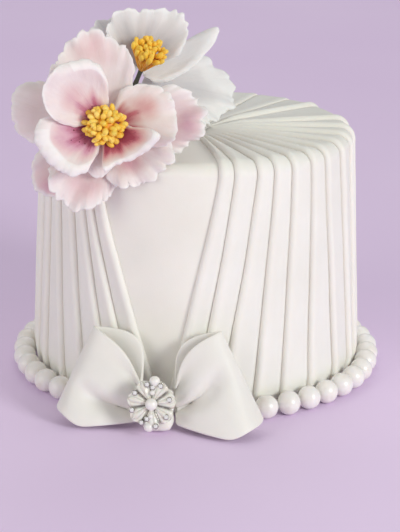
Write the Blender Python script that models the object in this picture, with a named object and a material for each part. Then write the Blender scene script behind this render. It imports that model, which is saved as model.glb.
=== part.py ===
"""Fondant cake: a round cake in white fondant, dressed with overlapping pleats that fan out
from the middle of its top, a border of sugar pearls, a bow with a brooch, and two open flowers.

Units are metres, +Z is up. The origin lies on the cake's axis, on the plane it stands on.
The smooth front panel faces -Y, turned a little towards -X. Azimuths are in degrees from -Y
towards +X.
"""
import math
import random

import bmesh
import bpy
import numpy as np
from mathutils import Vector

# Cake under its dressing
CAKE_TOP = 0.1254
RIM_ROUND = 0.0055
WALL_HEIGHTS = (0.0, 0.006, 0.014, CAKE_TOP - RIM_ROUND)
WALL_RADII = (0.0792, 0.0803, 0.0815, 0.0773)
CAKE_FACETS = 48

# Gap between neighbouring pieces, and under the pleats
GAP = 0.0003
UNDERSIDE = 0.0009

# Pleats: azimuth of each raised edge at the rim and at the foot, from the front panel backwards
RIGHT_EDGES = ((8, -9), (13.5, 0.5), (22, 9), (28.5, 20.5), (36, 31), (45, 43), (53, 57), (64.5, 69.5),
               (76, 78), (88, 89), (101, 103), (125, 126), (140, 140), (155, 155))
LEFT_EDGES = ((-37.5, -13), (-42.5, -22), (-46, -31), (-51, -42), (-59, -53), (-66, -66), (-74, -77),
              (-83, -87), (-94, -97), (-106, -109), (-119, -121), (-133, -134), (-147, -147), (-161, -161))
BACK_STRIP = (170, 184)
EDGE_CURVE = 1.1
EDGE_STRAIGHT_BELOW = 0.014
GATHER = (0.0015, -0.012)
GATHER_RADIUS = 0.009
GATHER_BEND = 0.45
FOLD_HEIGHT = 0.0027
FOLD_SETBACK = 0.0009
STRIP_EDGE = 0.0015
STRIP_FOOT = 0.001
COLUMN_ANGLE = 9.0
TOP_STEPS = (0.0, 0.3, 0.6, 0.85)
RIM_STEPS = (0, 30, 60)
SIDE_STEPS = (CAKE_TOP - RIM_ROUND, 0.085, 0.050, 0.014, 0.006, STRIP_FOOT)

# Pearl border
PEARL_RADIUS = 0.00585
PEARL_RING = 0.0894
PEARL_STEP = 8.0
PEARL_FIRST = 15.0
PEARL_COUNT = 39
PEARL_ARCS = 4
PEARL_CONTACT = 0.0013
PEARL_SIDES = 8

# Bow: each loop's pinched side at the knot and its outer fold, both from low to high
BOW_SHEET = 0.0017
LEFT_LOOP = {
    "pinch": ((-0.0275, -0.0945, 0.0040), (-0.0262, -0.0915, 0.0200)),
    "fold": ((-0.0690, -0.0860, 0.0012), (-0.0490, -0.0765, 0.0440)),
    "front": (0.0165, 0.0070),
    "back": (0.0030, 0.0030),
    "swell": (0.0060, 0.0105),
}
RIGHT_LOOP = {
    "pinch": ((-0.0055, -0.0960, 0.0040), (-0.0070, -0.0925, 0.0205)),
    "fold": ((0.0350, -0.1020, 0.0012), (0.0118, -0.0895, 0.0465)),
    "front": (0.0165, 0.0055),
    "back": (0.0020, 0.0030),
    "swell": (0.0060, 0.0085),
}
LOOP_STEPS = 16
LOOP_STRIPS = 5
CREASE_DEPTH = 0.0020
CREASE_AT = 0.45
CREASE_WIDTH = 0.16
KNOT_SIZE = (0.0160, 0.0200, 0.0110)
KNOT_OFFSET = (0.0040, -0.0015)
KNOT_SIDES = 12
KNOT_LEVELS = ((-1.0, 0.62), (-0.78, 0.92), (-0.3, 1.0), (0.3, 1.0), (0.78, 0.92), (1.0, 0.62))

# Brooch: a silver plate with shell petals, a pearl in the middle, stones, and a drop at each end
BROOCH_CENTRE = (-0.0206, -0.1052, 0.0160)
BROOCH_TILT = 16.0
BROOCH_TURN = -4.0
BROOCH_PLATE = 0.0088
BROOCH_BACK = 0.0022
BROOCH_DOME = (0.0016, 0.005)
BROOCH_PETALS = 7
SHELL_RADIUS = 0.0042
SHELL_PLACE = 0.0072
SHELL_RISE = 0.0008
SHELL_SQUASH = (0.72, 0.55)
BROOCH_PEARL = 0.0026
BROOCH_PEARL_RISE = 0.0030
BROOCH_DROPS = ((0.0012, 0.0110, 0.0023), (-0.0010, -0.0110, 0.0021))
BROOCH_STONES = 6
STONE_PLACE = 0.0086
STONE_PROFILE = ((-0.001, 0.0014), (0.0026, 0.0012))

# Flowers: centre, azimuth and height of the way each one faces
FRONT_FLOWER = {"centre": (-0.0440, -0.0680, 0.1425), "azimuth": 2.0, "height": 17.0}
REAR_FLOWER = {"centre": (-0.0290, -0.0150, 0.1560), "azimuth": 31.0, "height": 55.0}
PETAL_THICKNESS = 0.0009
PETAL_ROWS = 5
PETAL_COLUMNS = 6
PETAL_FAN = 60.0
PETAL_FOOT = 0.05

# A petal: direction in the flower's face, length, slimness of the outline, rise of the
# midrib at the foot and at the tip, cupping, twist about the midrib, seat along the flower's
# axis, ruffle height, rolled lip and a number that sets the ruffle's waves
FRONT_PETALS = {
    "front_petal_upper_left": (130, 0.041, 1.0, 22, 62, 0.9, 0, 0.0018, 0.0006, 0.002, 1),
    "front_petal_lower_left": (207, 0.037, 1.1, 22, 45, 0.6, 0, 0.0004, 0.0007, 0.002, 2),
    "front_petal_low_small": (262, 0.025, 2.2, 12, 16, 0.3, 0, -0.0014, 0.0006, 0.001, 3),
    "front_petal_lower_right": (316, 0.030, 0.9, 28, 62, 0.6, 0, 0.0014, 0.0008, 0.001, 4),
    "front_petal_right": (17, 0.036, 1.0, 14, 26, 0.4, 0, -0.0018, 0.0010, 0.002, 5),
    "front_petal_top": (98, 0.046, 1.0, 8, 27, 0.5, 0, -0.0052, 0.0012, 0.003, 6),
    "front_petal_far_left": (170, 0.044, 1.4, 2, 6, 0.3, 0, -0.0078, 0.0008, 0.001, 7),
    "front_petal_low_left": (220, 0.043, 2.0, 0, 0, 0.2, 0, -0.0098, 0.0008, 0.001, 8),
    "front_petal_bottom": (252, 0.041, 1.5, 6, 14, 0.4, 0, -0.0062, 0.0012, 0.002, 9),
    "front_petal_low_right": (320, 0.036, 1.1, 12, 22, 0.4, 0, -0.0050, 0.0010, 0.002, 10),
    "front_petal_far_right": (7, 0.046, 1.8, 4, 8, 0.3, 0, -0.0066, 0.0018, 0.002, 11),
}
REAR_PETALS = {
    "rear_petal_back": (66, 0.034, 0.7, 43, 60, 0.5, 0, 0.0, 0.0012, 0.002, 12),
    "rear_petal_left": (112, 0.035, 0.9, 31, 45, 0.5, 0, -0.0052, 0.0010, 0.002, 13),
    "rear_petal_right": (5, 0.044, 2.0, 21, 44, 0.5, -54, -0.0026, 0.0005, 0.000, 14),
    "rear_petal_front": (348, 0.048, 1.0, -5, -9, 0.3, 0, -0.0080, 0.0014, 0.002, 15),
    "rear_petal_front_left": (262, 0.030, 1.2, 2, 12, 0.4, 0, -0.0036, 0.0010, 0.002, 16),
}
PETAL_AXIS_GAP = 0.003

# Middles: the core's profile from stem to crown, the stamens on it, and the stalk's lower end
FRONT_STAMENS = {
    "core": ((-0.0150, 0.0016), (-0.0140, 0.0024), (-0.0010, 0.0024), (0.0015, 0.0045), (0.0035, 0.0063),
             (0.0070, 0.0028)),
    "lift": 0.0035, "stalk": (-0.0440, -0.0290, 0.1302),
    "count": 28, "spread": 68.0, "start": 0.0050, "reach": 0.0105, "thick": 0.00135,
}
REAR_STAMENS = {
    "core": ((-0.0100, 0.0016), (-0.0090, 0.0024), (-0.0010, 0.0022), (0.0020, 0.0018), (0.0101, 0.0074),
             (0.0135, 0.0040)),
    "lift": 0.0010, "stalk": (-0.0385, -0.0020, 0.1302),
    "count": 20, "spread": 28.0, "start": 0.0097, "reach": 0.0180, "thick": 0.00130,
}
STAMEN_SIDES = 4
STAMEN_HEAD = 0.0012
STALK_RADIUS = 0.0013
STALK_INSET = 0.0015
GOLDEN_ANGLE = 137.508

# Colours, as linear values
FONDANT_WHITE = (0.86, 0.84, 0.81)
PEARL_WHITE = (0.84, 0.83, 0.81)
PETAL_PINK = (0.85, 0.66, 0.70)
PETAL_WHITE = (0.84, 0.82, 0.82)
STAMEN_YELLOW = (0.93, 0.55, 0.05)
SILVER = (0.80, 0.79, 0.76)


def clear_scene():
    for item in list(bpy.data.objects):
        bpy.data.objects.remove(item, do_unlink=True)


def make_material(name, colour, roughness, metallic=0.0):
    material = bpy.data.materials.new(name)
    material.use_nodes = True
    shader = material.node_tree.nodes["Principled BSDF"]
    shader.inputs["Base Color"].default_value = (*colour, 1.0)
    shader.inputs["Roughness"].default_value = roughness
    shader.inputs["Metallic"].default_value = metallic
    return material


def add_object(name, points, faces, material, sharp=40.0):
    """Make one closed mesh object from points and faces, with its normals outwards."""
    mesh = bpy.data.meshes.new(name)
    mesh.from_pydata([tuple(p) for p in points], [], faces)
    work = bmesh.new()
    work.from_mesh(mesh)
    bmesh.ops.recalc_face_normals(work, faces=work.faces)
    work.to_mesh(mesh)
    work.free()
    mesh.shade_smooth()
    mesh.set_sharp_from_angle(angle=math.radians(sharp))
    mesh.materials.append(material)
    item = bpy.data.objects.new(name, mesh)
    bpy.context.collection.objects.link(item)
    return item


def bridge_rings(count, size, closed=False):
    """Faces of a skin over equal rings of points; its two ends are capped unless it is closed."""
    faces = []
    for ring in range(count if closed else count - 1):
        here = ring * size
        after = ((ring + 1) % count) * size
        for k in range(size):
            following = (k + 1) % size
            faces.append((here + k, here + following, after + following, after + k))
    if not closed:
        faces.append(tuple(range(size)))
        faces.append(tuple(range((count - 1) * size, count * size)))
    return faces


def wall_radius(height):
    return float(np.interp(height, WALL_HEIGHTS, WALL_RADII))


def around(radius, azimuth, height):
    """Point at a radius, an azimuth in degrees and a height."""
    angle = math.radians(azimuth)
    return Vector((radius * math.sin(angle), -radius * math.cos(angle), height))


def build_cake(material):
    """The fondant covering and the cake in it, one turned solid."""
    profile = [(wall_radius(height), height) for height in WALL_HEIGHTS]
    centre = WALL_RADII[-1] - RIM_ROUND
    for step in reversed(RIM_STEPS):
        angle = math.radians(step)
        height = CAKE_TOP - RIM_ROUND + RIM_ROUND * math.cos(angle)
        profile.append((centre + RIM_ROUND * math.sin(angle), height))
    points = []
    for radius, height in profile:
        points += [around(radius, 360.0 * k / CAKE_FACETS, height) for k in range(CAKE_FACETS)]
    add_object("cake", points, bridge_rings(len(profile), CAKE_FACETS), material)


def edge_azimuth(edge, height):
    """Azimuth of a pleat's edge on the side of the cake: slanting, then straight near the foot."""
    high = CAKE_TOP - RIM_ROUND
    way = min(max((high - height) / (high - EDGE_STRAIGHT_BELOW), 0.0), 1.0)
    return edge[0] + (edge[1] - edge[0]) * way ** EDGE_CURVE


def edge_on_top(edge, way):
    """Plan position of a pleat's edge on the top, from the gather (0) out to the rim's round (1)."""
    angle = math.radians(edge[0])
    outward = Vector((math.sin(angle), -math.cos(angle)))
    rim = outward * (WALL_RADII[-1] - RIM_ROUND)
    middle = Vector(GATHER)
    start = middle + (rim - middle).normalized() * GATHER_RADIUS
    bend = rim - outward * (GATHER_BEND * (rim - start).length)
    return start * (1 - way) ** 2 + bend * (2 * way * (1 - way)) + rim * way ** 2


def strip_profile(width, angle, two_folds):
    """Cross-section of a strip: pairs of place across it (0 to 1) and height over the cake."""
    last = 1.0 - GAP / width
    crest = min(FOLD_SETBACK / width, 0.42)
    middles = max(math.ceil(angle / COLUMN_ANGLE) - 1, 0)
    inner = [last * (k + 1) / (middles + 1) for k in range(middles)]
    upper = inner if inner else [0.55 * last]
    section = [(0.0, UNDERSIDE), (0.0, 0.6 * FOLD_HEIGHT), (crest, FOLD_HEIGHT)]
    if two_folds:
        section += [(place, STRIP_EDGE * 1.4) for place in upper]
        section += [(last - crest, FOLD_HEIGHT), (last, 0.6 * FOLD_HEIGHT), (last, UNDERSIDE)]
    else:
        slope = FOLD_HEIGHT - STRIP_EDGE
        section += [(place, STRIP_EDGE + slope * (1 - place) ** 1.4) for place in upper]
        section += [(last, STRIP_EDGE), (last, UNDERSIDE)]
    section += [(place, UNDERSIDE) for place in reversed(inner)]
    return section


def build_strip(name, near, far, material, two_folds=False):
    """One pleat: a strip from the gather over the rim to the foot, its near edge folded up."""
    rings = []
    span = abs(far[0] - near[0])
    high = CAKE_TOP - RIM_ROUND
    centre = WALL_RADII[-1] - RIM_ROUND
    for way in TOP_STEPS:
        a = edge_on_top(near, way)
        b = edge_on_top(far, way)
        section = strip_profile((b - a).length, span, two_folds)
        rings.append([(*(a.lerp(b, place)), CAKE_TOP + rise) for place, rise in section])
    for step in RIM_STEPS:
        angle = math.radians(step)
        section = strip_profile(math.radians(span) * centre, span, two_folds)
        rings.append([
            around(centre + (RIM_ROUND + rise) * math.sin(angle),
                   near[0] + (far[0] - near[0]) * place,
                   high + (RIM_ROUND + rise) * math.cos(angle))
            for place, rise in section])
    for height in SIDE_STEPS:
        a = edge_azimuth(near, height)
        b = edge_azimuth(far, height)
        radius = wall_radius(height)
        section = strip_profile(math.radians(abs(b - a)) * radius, span, two_folds)
        rings.append([around(radius + rise, a + (b - a) * place, height) for place, rise in section])
    points = [p for ring in rings for p in ring]
    add_object(name, points, bridge_rings(len(rings), len(rings[0])), material)


def build_pleats(material):
    sides = (("right", RIGHT_EDGES, BACK_STRIP[0]), ("left", LEFT_EDGES, BACK_STRIP[1] - 360))
    for side, edges, end in sides:
        stops = edges[1:] + ((end, end),)
        for number, (near, far) in enumerate(zip(edges, stops), 1):
            build_strip(f"pleat_{side}_{number:02d}", near, far, material)
    build_strip("pleat_back", (BACK_STRIP[0],) * 2, (BACK_STRIP[1],) * 2, material, two_folds=True)


def build_pearls(material):
    """The border in arcs; the pearls of an arc are joined by the small flats where they touch."""
    share = math.ceil(PEARL_COUNT / PEARL_ARCS)
    half_step = PEARL_RING * math.tan(math.radians(PEARL_STEP / 2))
    slices = ((-0.66, 0.75), (0.0, 1.0), (0.66, 0.75))
    for arc in range(PEARL_ARCS):
        first = arc * share
        after = min(first + share, PEARL_COUNT)
        rings = []
        for number in range(first, after):
            azimuth = PEARL_FIRST + PEARL_STEP * number
            out = around(1.0, azimuth, 0.0)
            along = Vector((-out.y, out.x, 0.0))
            centre = out * PEARL_RING + Vector((0, 0, PEARL_RADIUS))
            stops = [(place * PEARL_RADIUS, size * PEARL_RADIUS) for place, size in slices]
            outer = half_step if number > first else PEARL_RADIUS * 0.985
            stops.insert(0, (-outer, PEARL_CONTACT))
            if number == after - 1:
                stops.append((PEARL_RADIUS * 0.985, PEARL_CONTACT))
            for place, size in stops:
                turn = math.radians(PEARL_STEP / 2) if abs(place) >= half_step else 0.0
                side = out * math.cos(turn) + along * (-math.sin(turn) if place < 0 else math.sin(turn))
                ring = []
                for k in range(PEARL_SIDES):
                    angle = 2 * math.pi * k / PEARL_SIDES
                    ring.append(centre + along * place + side * (size * math.cos(angle))
                                + Vector((0, 0, size * math.sin(angle))))
                rings.append(ring)
        points = [p for ring in rings for p in ring]
        add_object(f"pearls_{arc + 1}", points, bridge_rings(len(rings), PEARL_SIDES), material, 80)


def loop_point(loop, turn, across):
    """Mid-surface of a bow loop: turn goes once round it from the pinch, across from low to high."""
    low_pinch, high_pinch = (Vector(p) for p in loop["pinch"])
    low_fold, high_fold = (Vector(p) for p in loop["fold"])
    pinch = low_pinch.lerp(high_pinch, across)
    fold = low_fold.lerp(high_fold, across)
    upward = (high_fold - low_fold).normalized()
    forward = (low_fold - low_pinch).cross(upward).normalized()
    if forward.y > 0:
        forward = -forward
    way = 0.5 - 0.5 * math.cos(2 * math.pi * turn)
    swing = math.sin(2 * math.pi * turn)
    ahead = swing > 0
    low_reach, high_reach = loop["front"] if ahead else loop["back"]
    depth = (low_reach + (high_reach - low_reach) * across) * swing * (0.3 + 0.7 * way)
    crease = math.exp(-((across - CREASE_AT) / CREASE_WIDTH) ** 2) * (1 - way) ** 1.5 * max(swing, 0)
    swell = loop["swell"][0 if ahead else 1] * across ** 2 * math.sin(math.pi * way)
    inward = (pinch - fold).normalized().cross(forward).normalized()
    if inward.z < 0:
        inward = -inward
    return pinch.lerp(fold, way) + forward * (depth - CREASE_DEPTH * crease) + inward * swell


def build_loop(name, loop, material):
    """A band of fondant folded round into a puffed loop that is open above and below."""
    points = []
    for step in range(LOOP_STEPS):
        turn = (step + 0.5) / LOOP_STEPS
        middle = [loop_point(loop, turn, k / LOOP_STRIPS) for k in range(LOOP_STRIPS + 1)]
        before = [loop_point(loop, turn - 0.02, k / LOOP_STRIPS) for k in range(LOOP_STRIPS + 1)]
        later = [loop_point(loop, turn + 0.02, k / LOOP_STRIPS) for k in range(LOOP_STRIPS + 1)]
        outer, inner = [], []
        for k, point in enumerate(middle):
            rise = middle[min(k + 1, LOOP_STRIPS)] - middle[max(k - 1, 0)]
            normal = (later[k] - before[k]).cross(rise).normalized()
            outer.append(point + normal * (BOW_SHEET / 2))
            inner.append(point - normal * (BOW_SHEET / 2))
        points += outer + inner[::-1]
    add_object(name, points, bridge_rings(LOOP_STEPS, 2 * (LOOP_STRIPS + 1), closed=True), material, 60)


def facing_frame(azimuth, height):
    """Right, up and outward directions of something that faces an azimuth at a height."""
    a, h = math.radians(azimuth), math.radians(height)
    outward = Vector((math.sin(a) * math.cos(h), -math.cos(a) * math.cos(h), math.sin(h)))
    right = Vector((math.cos(a), math.sin(a), 0.0))
    return right, outward.cross(right), outward


def build_knot(material):
    """The band round the bow's middle: a block with well rounded corners behind the brooch."""
    right, up, outward = facing_frame(BROOCH_TURN, BROOCH_TILT)
    front = Vector(BROOCH_CENTRE) - outward * (BROOCH_BACK + GAP)
    centre = front + right * KNOT_OFFSET[0] + up * KNOT_OFFSET[1] - outward * (KNOT_SIZE[2] / 2)
    points = []
    for level, width in KNOT_LEVELS:
        for k in range(KNOT_SIDES):
            angle = 2 * math.pi * (k + 0.5) / KNOT_SIDES
            bulge = (abs(math.cos(angle)) ** 3 + abs(math.sin(angle)) ** 3) ** (-1 / 3)
            points.append(centre + right * (KNOT_SIZE[0] / 2 * width * bulge * math.cos(angle))
                          + outward * (KNOT_SIZE[2] / 2 * width * bulge * math.sin(angle))
                          + up * (KNOT_SIZE[1] / 2 * level))
    add_object("bow_knot", points, bridge_rings(len(KNOT_LEVELS), KNOT_SIDES), material, 60)


def union(name, pieces, material, sharp=50.0):
    """Join closed pieces into one solid by one Boolean union, and keep only the result."""
    group = bpy.data.collections.new(name + "_pieces")
    bpy.context.scene.collection.children.link(group)
    base = pieces[0]
    for piece in pieces[1:]:
        bpy.context.collection.objects.unlink(piece)
        group.objects.link(piece)
    modifier = base.modifiers.new("join", "BOOLEAN")
    modifier.operation = "UNION"
    modifier.solver = "EXACT"
    modifier.operand_type = "COLLECTION"
    modifier.collection = group
    depsgraph = bpy.context.evaluated_depsgraph_get()
    joined = bpy.data.meshes.new_from_object(base.evaluated_get(depsgraph))
    base.modifiers.remove(modifier)
    base.data = joined
    base.name = name
    joined.name = name
    joined.materials.clear()
    joined.materials.append(material)
    joined.shade_smooth()
    joined.set_sharp_from_angle(angle=math.radians(sharp))
    for piece in list(group.objects):
        bpy.data.objects.remove(piece, do_unlink=True)
    bpy.data.collections.remove(group)
    return base


def turned(name, start, way, profile, sides, material, squash=(1.0, 1.0), across=None):
    """A solid turned about the line from start along way; profile holds (distance, radius)."""
    way = way.normalized()
    across = across if across is not None else way.orthogonal().normalized()
    other = way.cross(across)
    points = []
    for distance, radius in profile:
        for k in range(sides):
            angle = 2 * math.pi * k / sides
            points.append(start + way * distance + across * (radius * squash[0] * math.cos(angle))
                          + other * (radius * squash[1] * math.sin(angle)))
    return add_object(name, points, bridge_rings(len(profile), sides), material)


def ball_profile(radius, rings):
    """Profile of a ball whose two ends are tiny flats."""
    stops = [math.pi * (0.06 + 0.88 * k / rings) for k in range(rings + 1)]
    return [(-radius * math.cos(a), radius * math.sin(a)) for a in stops]


def build_brooch(material):
    """Silver setting with shell petals and a pearl in the middle, two drops and small stones."""
    right, up, outward = facing_frame(BROOCH_TURN, BROOCH_TILT)
    centre = Vector(BROOCH_CENTRE)
    plate = ((-BROOCH_BACK, BROOCH_PLATE), (0.0, BROOCH_PLATE), BROOCH_DOME)
    pieces = [turned("plate", centre, outward, plate, 12, material)]
    for k in range(BROOCH_PETALS):
        angle = 2 * math.pi * (k + 0.25) / BROOCH_PETALS
        way = right * math.cos(angle) + up * math.sin(angle)
        place = centre + way * SHELL_PLACE + outward * SHELL_RISE
        pieces.append(turned(f"shell_{k}", place, way, ball_profile(SHELL_RADIUS, 2), 6, material,
                             SHELL_SQUASH, way.cross(outward)))
    middle = centre + outward * BROOCH_PEARL_RISE
    pieces.append(turned("pearl", middle, outward, ball_profile(BROOCH_PEARL, 3), 6, material))
    for aside, above, radius in BROOCH_DROPS:
        place = centre + up * above + right * aside + outward * (radius / 2)
        pieces.append(turned("drop", place, up, ball_profile(radius, 3), 6, material))
    for k in range(BROOCH_STONES):
        angle = 2 * math.pi * (k + 0.5) / BROOCH_STONES
        way = right * math.cos(angle) + up * math.sin(angle)
        pieces.append(turned(f"stone_{k}", centre + way * STONE_PLACE, outward, STONE_PROFILE, 4, material))
    union("brooch", pieces, material)


def petal_point(petal, frame, u, v):
    """Mid-surface of a petal: u runs from its foot to its rim, v from one side to the other."""
    direction, length, slim, rise_foot, rise_tip, cup, twist, seat, ruffle, lip, waves = petal
    centre, right, up, outward = frame
    fan = math.radians(PETAL_FAN) * v
    reach = length * math.cos(fan) ** slim
    along = u * reach * math.cos(fan)
    across = u * reach * math.sin(fan)
    start = math.radians(rise_foot)
    turn = math.radians(rise_tip - rise_foot)
    angle = start + turn * along / length
    if abs(turn) < 1e-4:
        out = along * math.cos(start)
        rise = along * math.sin(start)
    else:
        out = length * (math.sin(angle) - math.sin(start)) / turn
        rise = length * (math.cos(start) - math.cos(angle)) / turn
    bend = 0.5 * length / cup
    lift = bend * (1 - math.cos(across / bend))
    spread = bend * math.sin(across / bend)
    wave = math.sin(5.0 * fan + 2.1 * waves) + 0.6 * math.sin(9.0 * fan + 1.3 * waves)
    lift += ruffle * wave * u ** 3 - lip * max(u - 0.75, 0.0) ** 2 * 16
    theta = math.radians(direction)
    outer = right * math.cos(theta) + up * math.sin(theta)
    side = up * math.cos(theta) - right * math.sin(theta)
    normal = outward * math.cos(angle) - outer * math.sin(angle)
    roll = math.radians(twist) * min(u * 2, 1)
    sideways = side * math.cos(roll) + normal * math.sin(roll)
    inward = normal * math.cos(roll) - side * math.sin(roll)
    return (centre + outer * (PETAL_AXIS_GAP + out) + outward * (seat + rise)
            + sideways * spread + inward * lift)


def build_petal(name, petal, frame, material):
    """A thin wavy solid whose two faces are split into the same triangles."""
    rows, columns = PETAL_ROWS, PETAL_COLUMNS
    us = [PETAL_FOOT + (1 - PETAL_FOOT) * i / rows for i in range(rows + 1)]
    vs = [-1 + 2 * j / columns for j in range(columns + 1)]
    step = 0.02
    front, back = [], []
    for u in us:
        for v in vs:
            point = petal_point(petal, frame, u, v)
            du = petal_point(petal, frame, u + step, v) - petal_point(petal, frame, u - step, v)
            dv = petal_point(petal, frame, u, v + step) - petal_point(petal, frame, u, v - step)
            normal = du.cross(dv).normalized()
            front.append(point + normal * (PETAL_THICKNESS / 2))
            back.append(point - normal * (PETAL_THICKNESS / 2))
    wide = columns + 1
    count = (rows + 1) * wide
    faces = []
    for i in range(rows):
        for j in range(columns):
            a = i * wide + j
            b, c, d = a + 1, a + wide + 1, a + wide
            faces += [(a, b, c), (a, c, d)]
            faces += [(a + count, c + count, b + count), (a + count, d + count, c + count)]
    rim = [j for j in range(wide)]
    rim += [i * wide + columns for i in range(1, rows + 1)]
    rim += [rows * wide + j for j in range(columns - 1, -1, -1)]
    rim += [i * wide for i in range(rows - 1, 0, -1)]
    for here, after in zip(rim, rim[1:] + rim[:1]):
        faces += [(here, after, after + count), (here, after + count, here + count)]
    add_object(name, front + back, faces, material, 60)


def flower_frame(flower):
    return (Vector(flower["centre"]), *facing_frame(flower["azimuth"], flower["height"]))


def build_centre(name, flower, stamens, material):
    """The flower's middle: a core that carries the stamens, and a stalk down to the cake's top."""
    centre, right, up, outward = flower_frame(flower)
    base = centre + outward * stamens["lift"]
    pieces = [turned("core", base, outward, stamens["core"], 8, material)]
    draw = random.Random(5)
    count = stamens["count"]
    for k in range(count):
        tilt = math.radians(stamens["spread"]) * math.sqrt((k + 0.5) / count)
        turn = math.radians(GOLDEN_ANGLE) * k
        way = outward * math.cos(tilt) + (right * math.cos(turn) + up * math.sin(turn)) * math.sin(tilt)
        reach = stamens["reach"] * (1 + 0.06 * (draw.random() - 0.5))
        thick = stamens["thick"] * (1 + 0.25 * (draw.random() - 0.5))
        profile = ((stamens["start"], thick * 0.75), (reach - STAMEN_HEAD, thick), (reach, thick * 0.45))
        pieces.append(turned(f"stamen_{k}", base, way, profile, STAMEN_SIDES, material))
    start = base + outward * (stamens["core"][0][0] + STALK_INSET)
    run = Vector(stamens["stalk"]) - start
    pieces.append(turned("stalk", start, run, ((0.0, STALK_RADIUS), (run.length, STALK_RADIUS)), 6, material))
    union(name, pieces, material)


def main():
    clear_scene()
    fondant = make_material("white_fondant", FONDANT_WHITE, 0.5)
    bow = make_material("bow_fondant", FONDANT_WHITE, 0.42)
    pearl = make_material("pearl_lustre", PEARL_WHITE, 0.3)
    silver = make_material("brooch_silver", SILVER, 0.25, 0.9)
    pink = make_material("petal_blush", PETAL_PINK, 0.5)
    white = make_material("petal_white", PETAL_WHITE, 0.5)
    yellow = make_material("stamen_yellow", STAMEN_YELLOW, 0.55)
    build_cake(fondant)
    build_pleats(fondant)
    build_pearls(pearl)
    build_loop("bow_left", LEFT_LOOP, bow)
    build_loop("bow_right", RIGHT_LOOP, bow)
    build_knot(bow)
    build_brooch(silver)
    for name, petal in FRONT_PETALS.items():
        build_petal(name, petal, flower_frame(FRONT_FLOWER), pink)
    for name, petal in REAR_PETALS.items():
        build_petal(name, petal, flower_frame(REAR_FLOWER), white)
    build_centre("front_stamens", FRONT_FLOWER, FRONT_STAMENS, yellow)
    build_centre("rear_stamens", REAR_FLOWER, REAR_STAMENS, yellow)


main()
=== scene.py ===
# %% [markdown]
# # A fondant cake with pleats, pearls, a bow and two sugar flowers
#
# The cake is dressed the way a sugar crafter dresses it. A smooth sheet of rolled fondant
# covers it, strips with folded edges fan out from the middle of the top, a row of sugar
# pearls closes the foot, and a bow with a brooch sits in front. Two open flowers of sugar
# paste stand at the rim on short stalks. Lengths are in metres and azimuths run from the
# front towards the right.

import math
import random

import bmesh
import bpy
import numpy as np
from mathutils import Matrix, Vector, noise


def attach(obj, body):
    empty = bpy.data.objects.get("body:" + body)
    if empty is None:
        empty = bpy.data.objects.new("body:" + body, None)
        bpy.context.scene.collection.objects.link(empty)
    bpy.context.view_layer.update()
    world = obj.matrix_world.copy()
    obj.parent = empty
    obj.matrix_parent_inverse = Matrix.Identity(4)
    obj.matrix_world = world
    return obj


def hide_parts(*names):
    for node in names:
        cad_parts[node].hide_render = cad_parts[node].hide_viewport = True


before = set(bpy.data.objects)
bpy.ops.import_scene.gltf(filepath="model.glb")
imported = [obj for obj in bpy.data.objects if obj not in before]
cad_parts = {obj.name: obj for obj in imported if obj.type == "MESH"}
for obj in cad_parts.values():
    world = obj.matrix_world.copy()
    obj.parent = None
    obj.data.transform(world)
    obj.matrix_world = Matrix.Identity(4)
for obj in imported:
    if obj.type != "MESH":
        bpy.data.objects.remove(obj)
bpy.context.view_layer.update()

# %% [markdown]
# ## The camera
# It stands about a metre away and a little above the cake, looks down by 18 degrees and
# leans by half a degree. A long lens keeps the sides of the cake nearly upright.

# %% The camera
CAMERA_PLACE = (0.0018, -1.0596, 0.3957)
CAMERA_PITCH = 18.02
CAMERA_ROLL = 0.49
CAMERA_LENS = 145.6


def make_camera():
    pitch, roll = math.radians(CAMERA_PITCH), math.radians(CAMERA_ROLL)
    level_right = Vector((1, 0, 0))
    level_up = Vector((0, math.sin(pitch), math.cos(pitch)))
    right = level_right * math.cos(roll) + level_up * math.sin(roll)
    up = level_up * math.cos(roll) - level_right * math.sin(roll)
    turn = Matrix((right, up, right.cross(up))).transposed()
    lens = bpy.data.cameras.new("photo_lens")
    lens.lens = CAMERA_LENS
    camera = bpy.data.objects.new("camera", lens)
    camera.matrix_world = Matrix.Translation(CAMERA_PLACE) @ turn.to_4x4()
    bpy.context.collection.objects.link(camera)
    bpy.context.scene.camera = camera
    return camera


make_camera()
print("lens, mm:", CAMERA_LENS)

# %% [markdown]
# ## Helpers that every piece shares
# A piece is a mesh made from points and faces. Most pieces here are skins over rings of
# points or thin sheets, so one helper joins equal rings into a closed body and another
# closes a sheet round its rim. Each piece then rides on the model's one body and stands
# for the plain solid that it replaces.


# %% Mesh helpers
def ring_faces(count, size, closed=False):
    """Faces of a skin over equal rings; both ends are capped unless the run is closed."""
    faces = []
    for ring in range(count if closed else count - 1):
        here = ring * size
        after = ((ring + 1) % count) * size
        for k in range(size):
            following = (k + 1) % size
            faces.append((here + k, here + following, after + following, after + k))
    if not closed:
        faces.append(tuple(range(size)))
        faces.append(tuple(range((count - 1) * size, count * size)))
    return faces


def ring_points(centre, side, other, radius, sides, ribs=0, rib_depth=0.0):
    """Points of a ring about a centre; ribs stand out by rib_depth of the radius."""
    points = []
    for k in range(sides):
        angle = 2 * math.pi * k / sides
        reach = radius * (1 + rib_depth * math.cos(ribs * angle))
        points.append(centre + (side * math.cos(angle) + other * math.sin(angle)) * reach)
    return points


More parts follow.
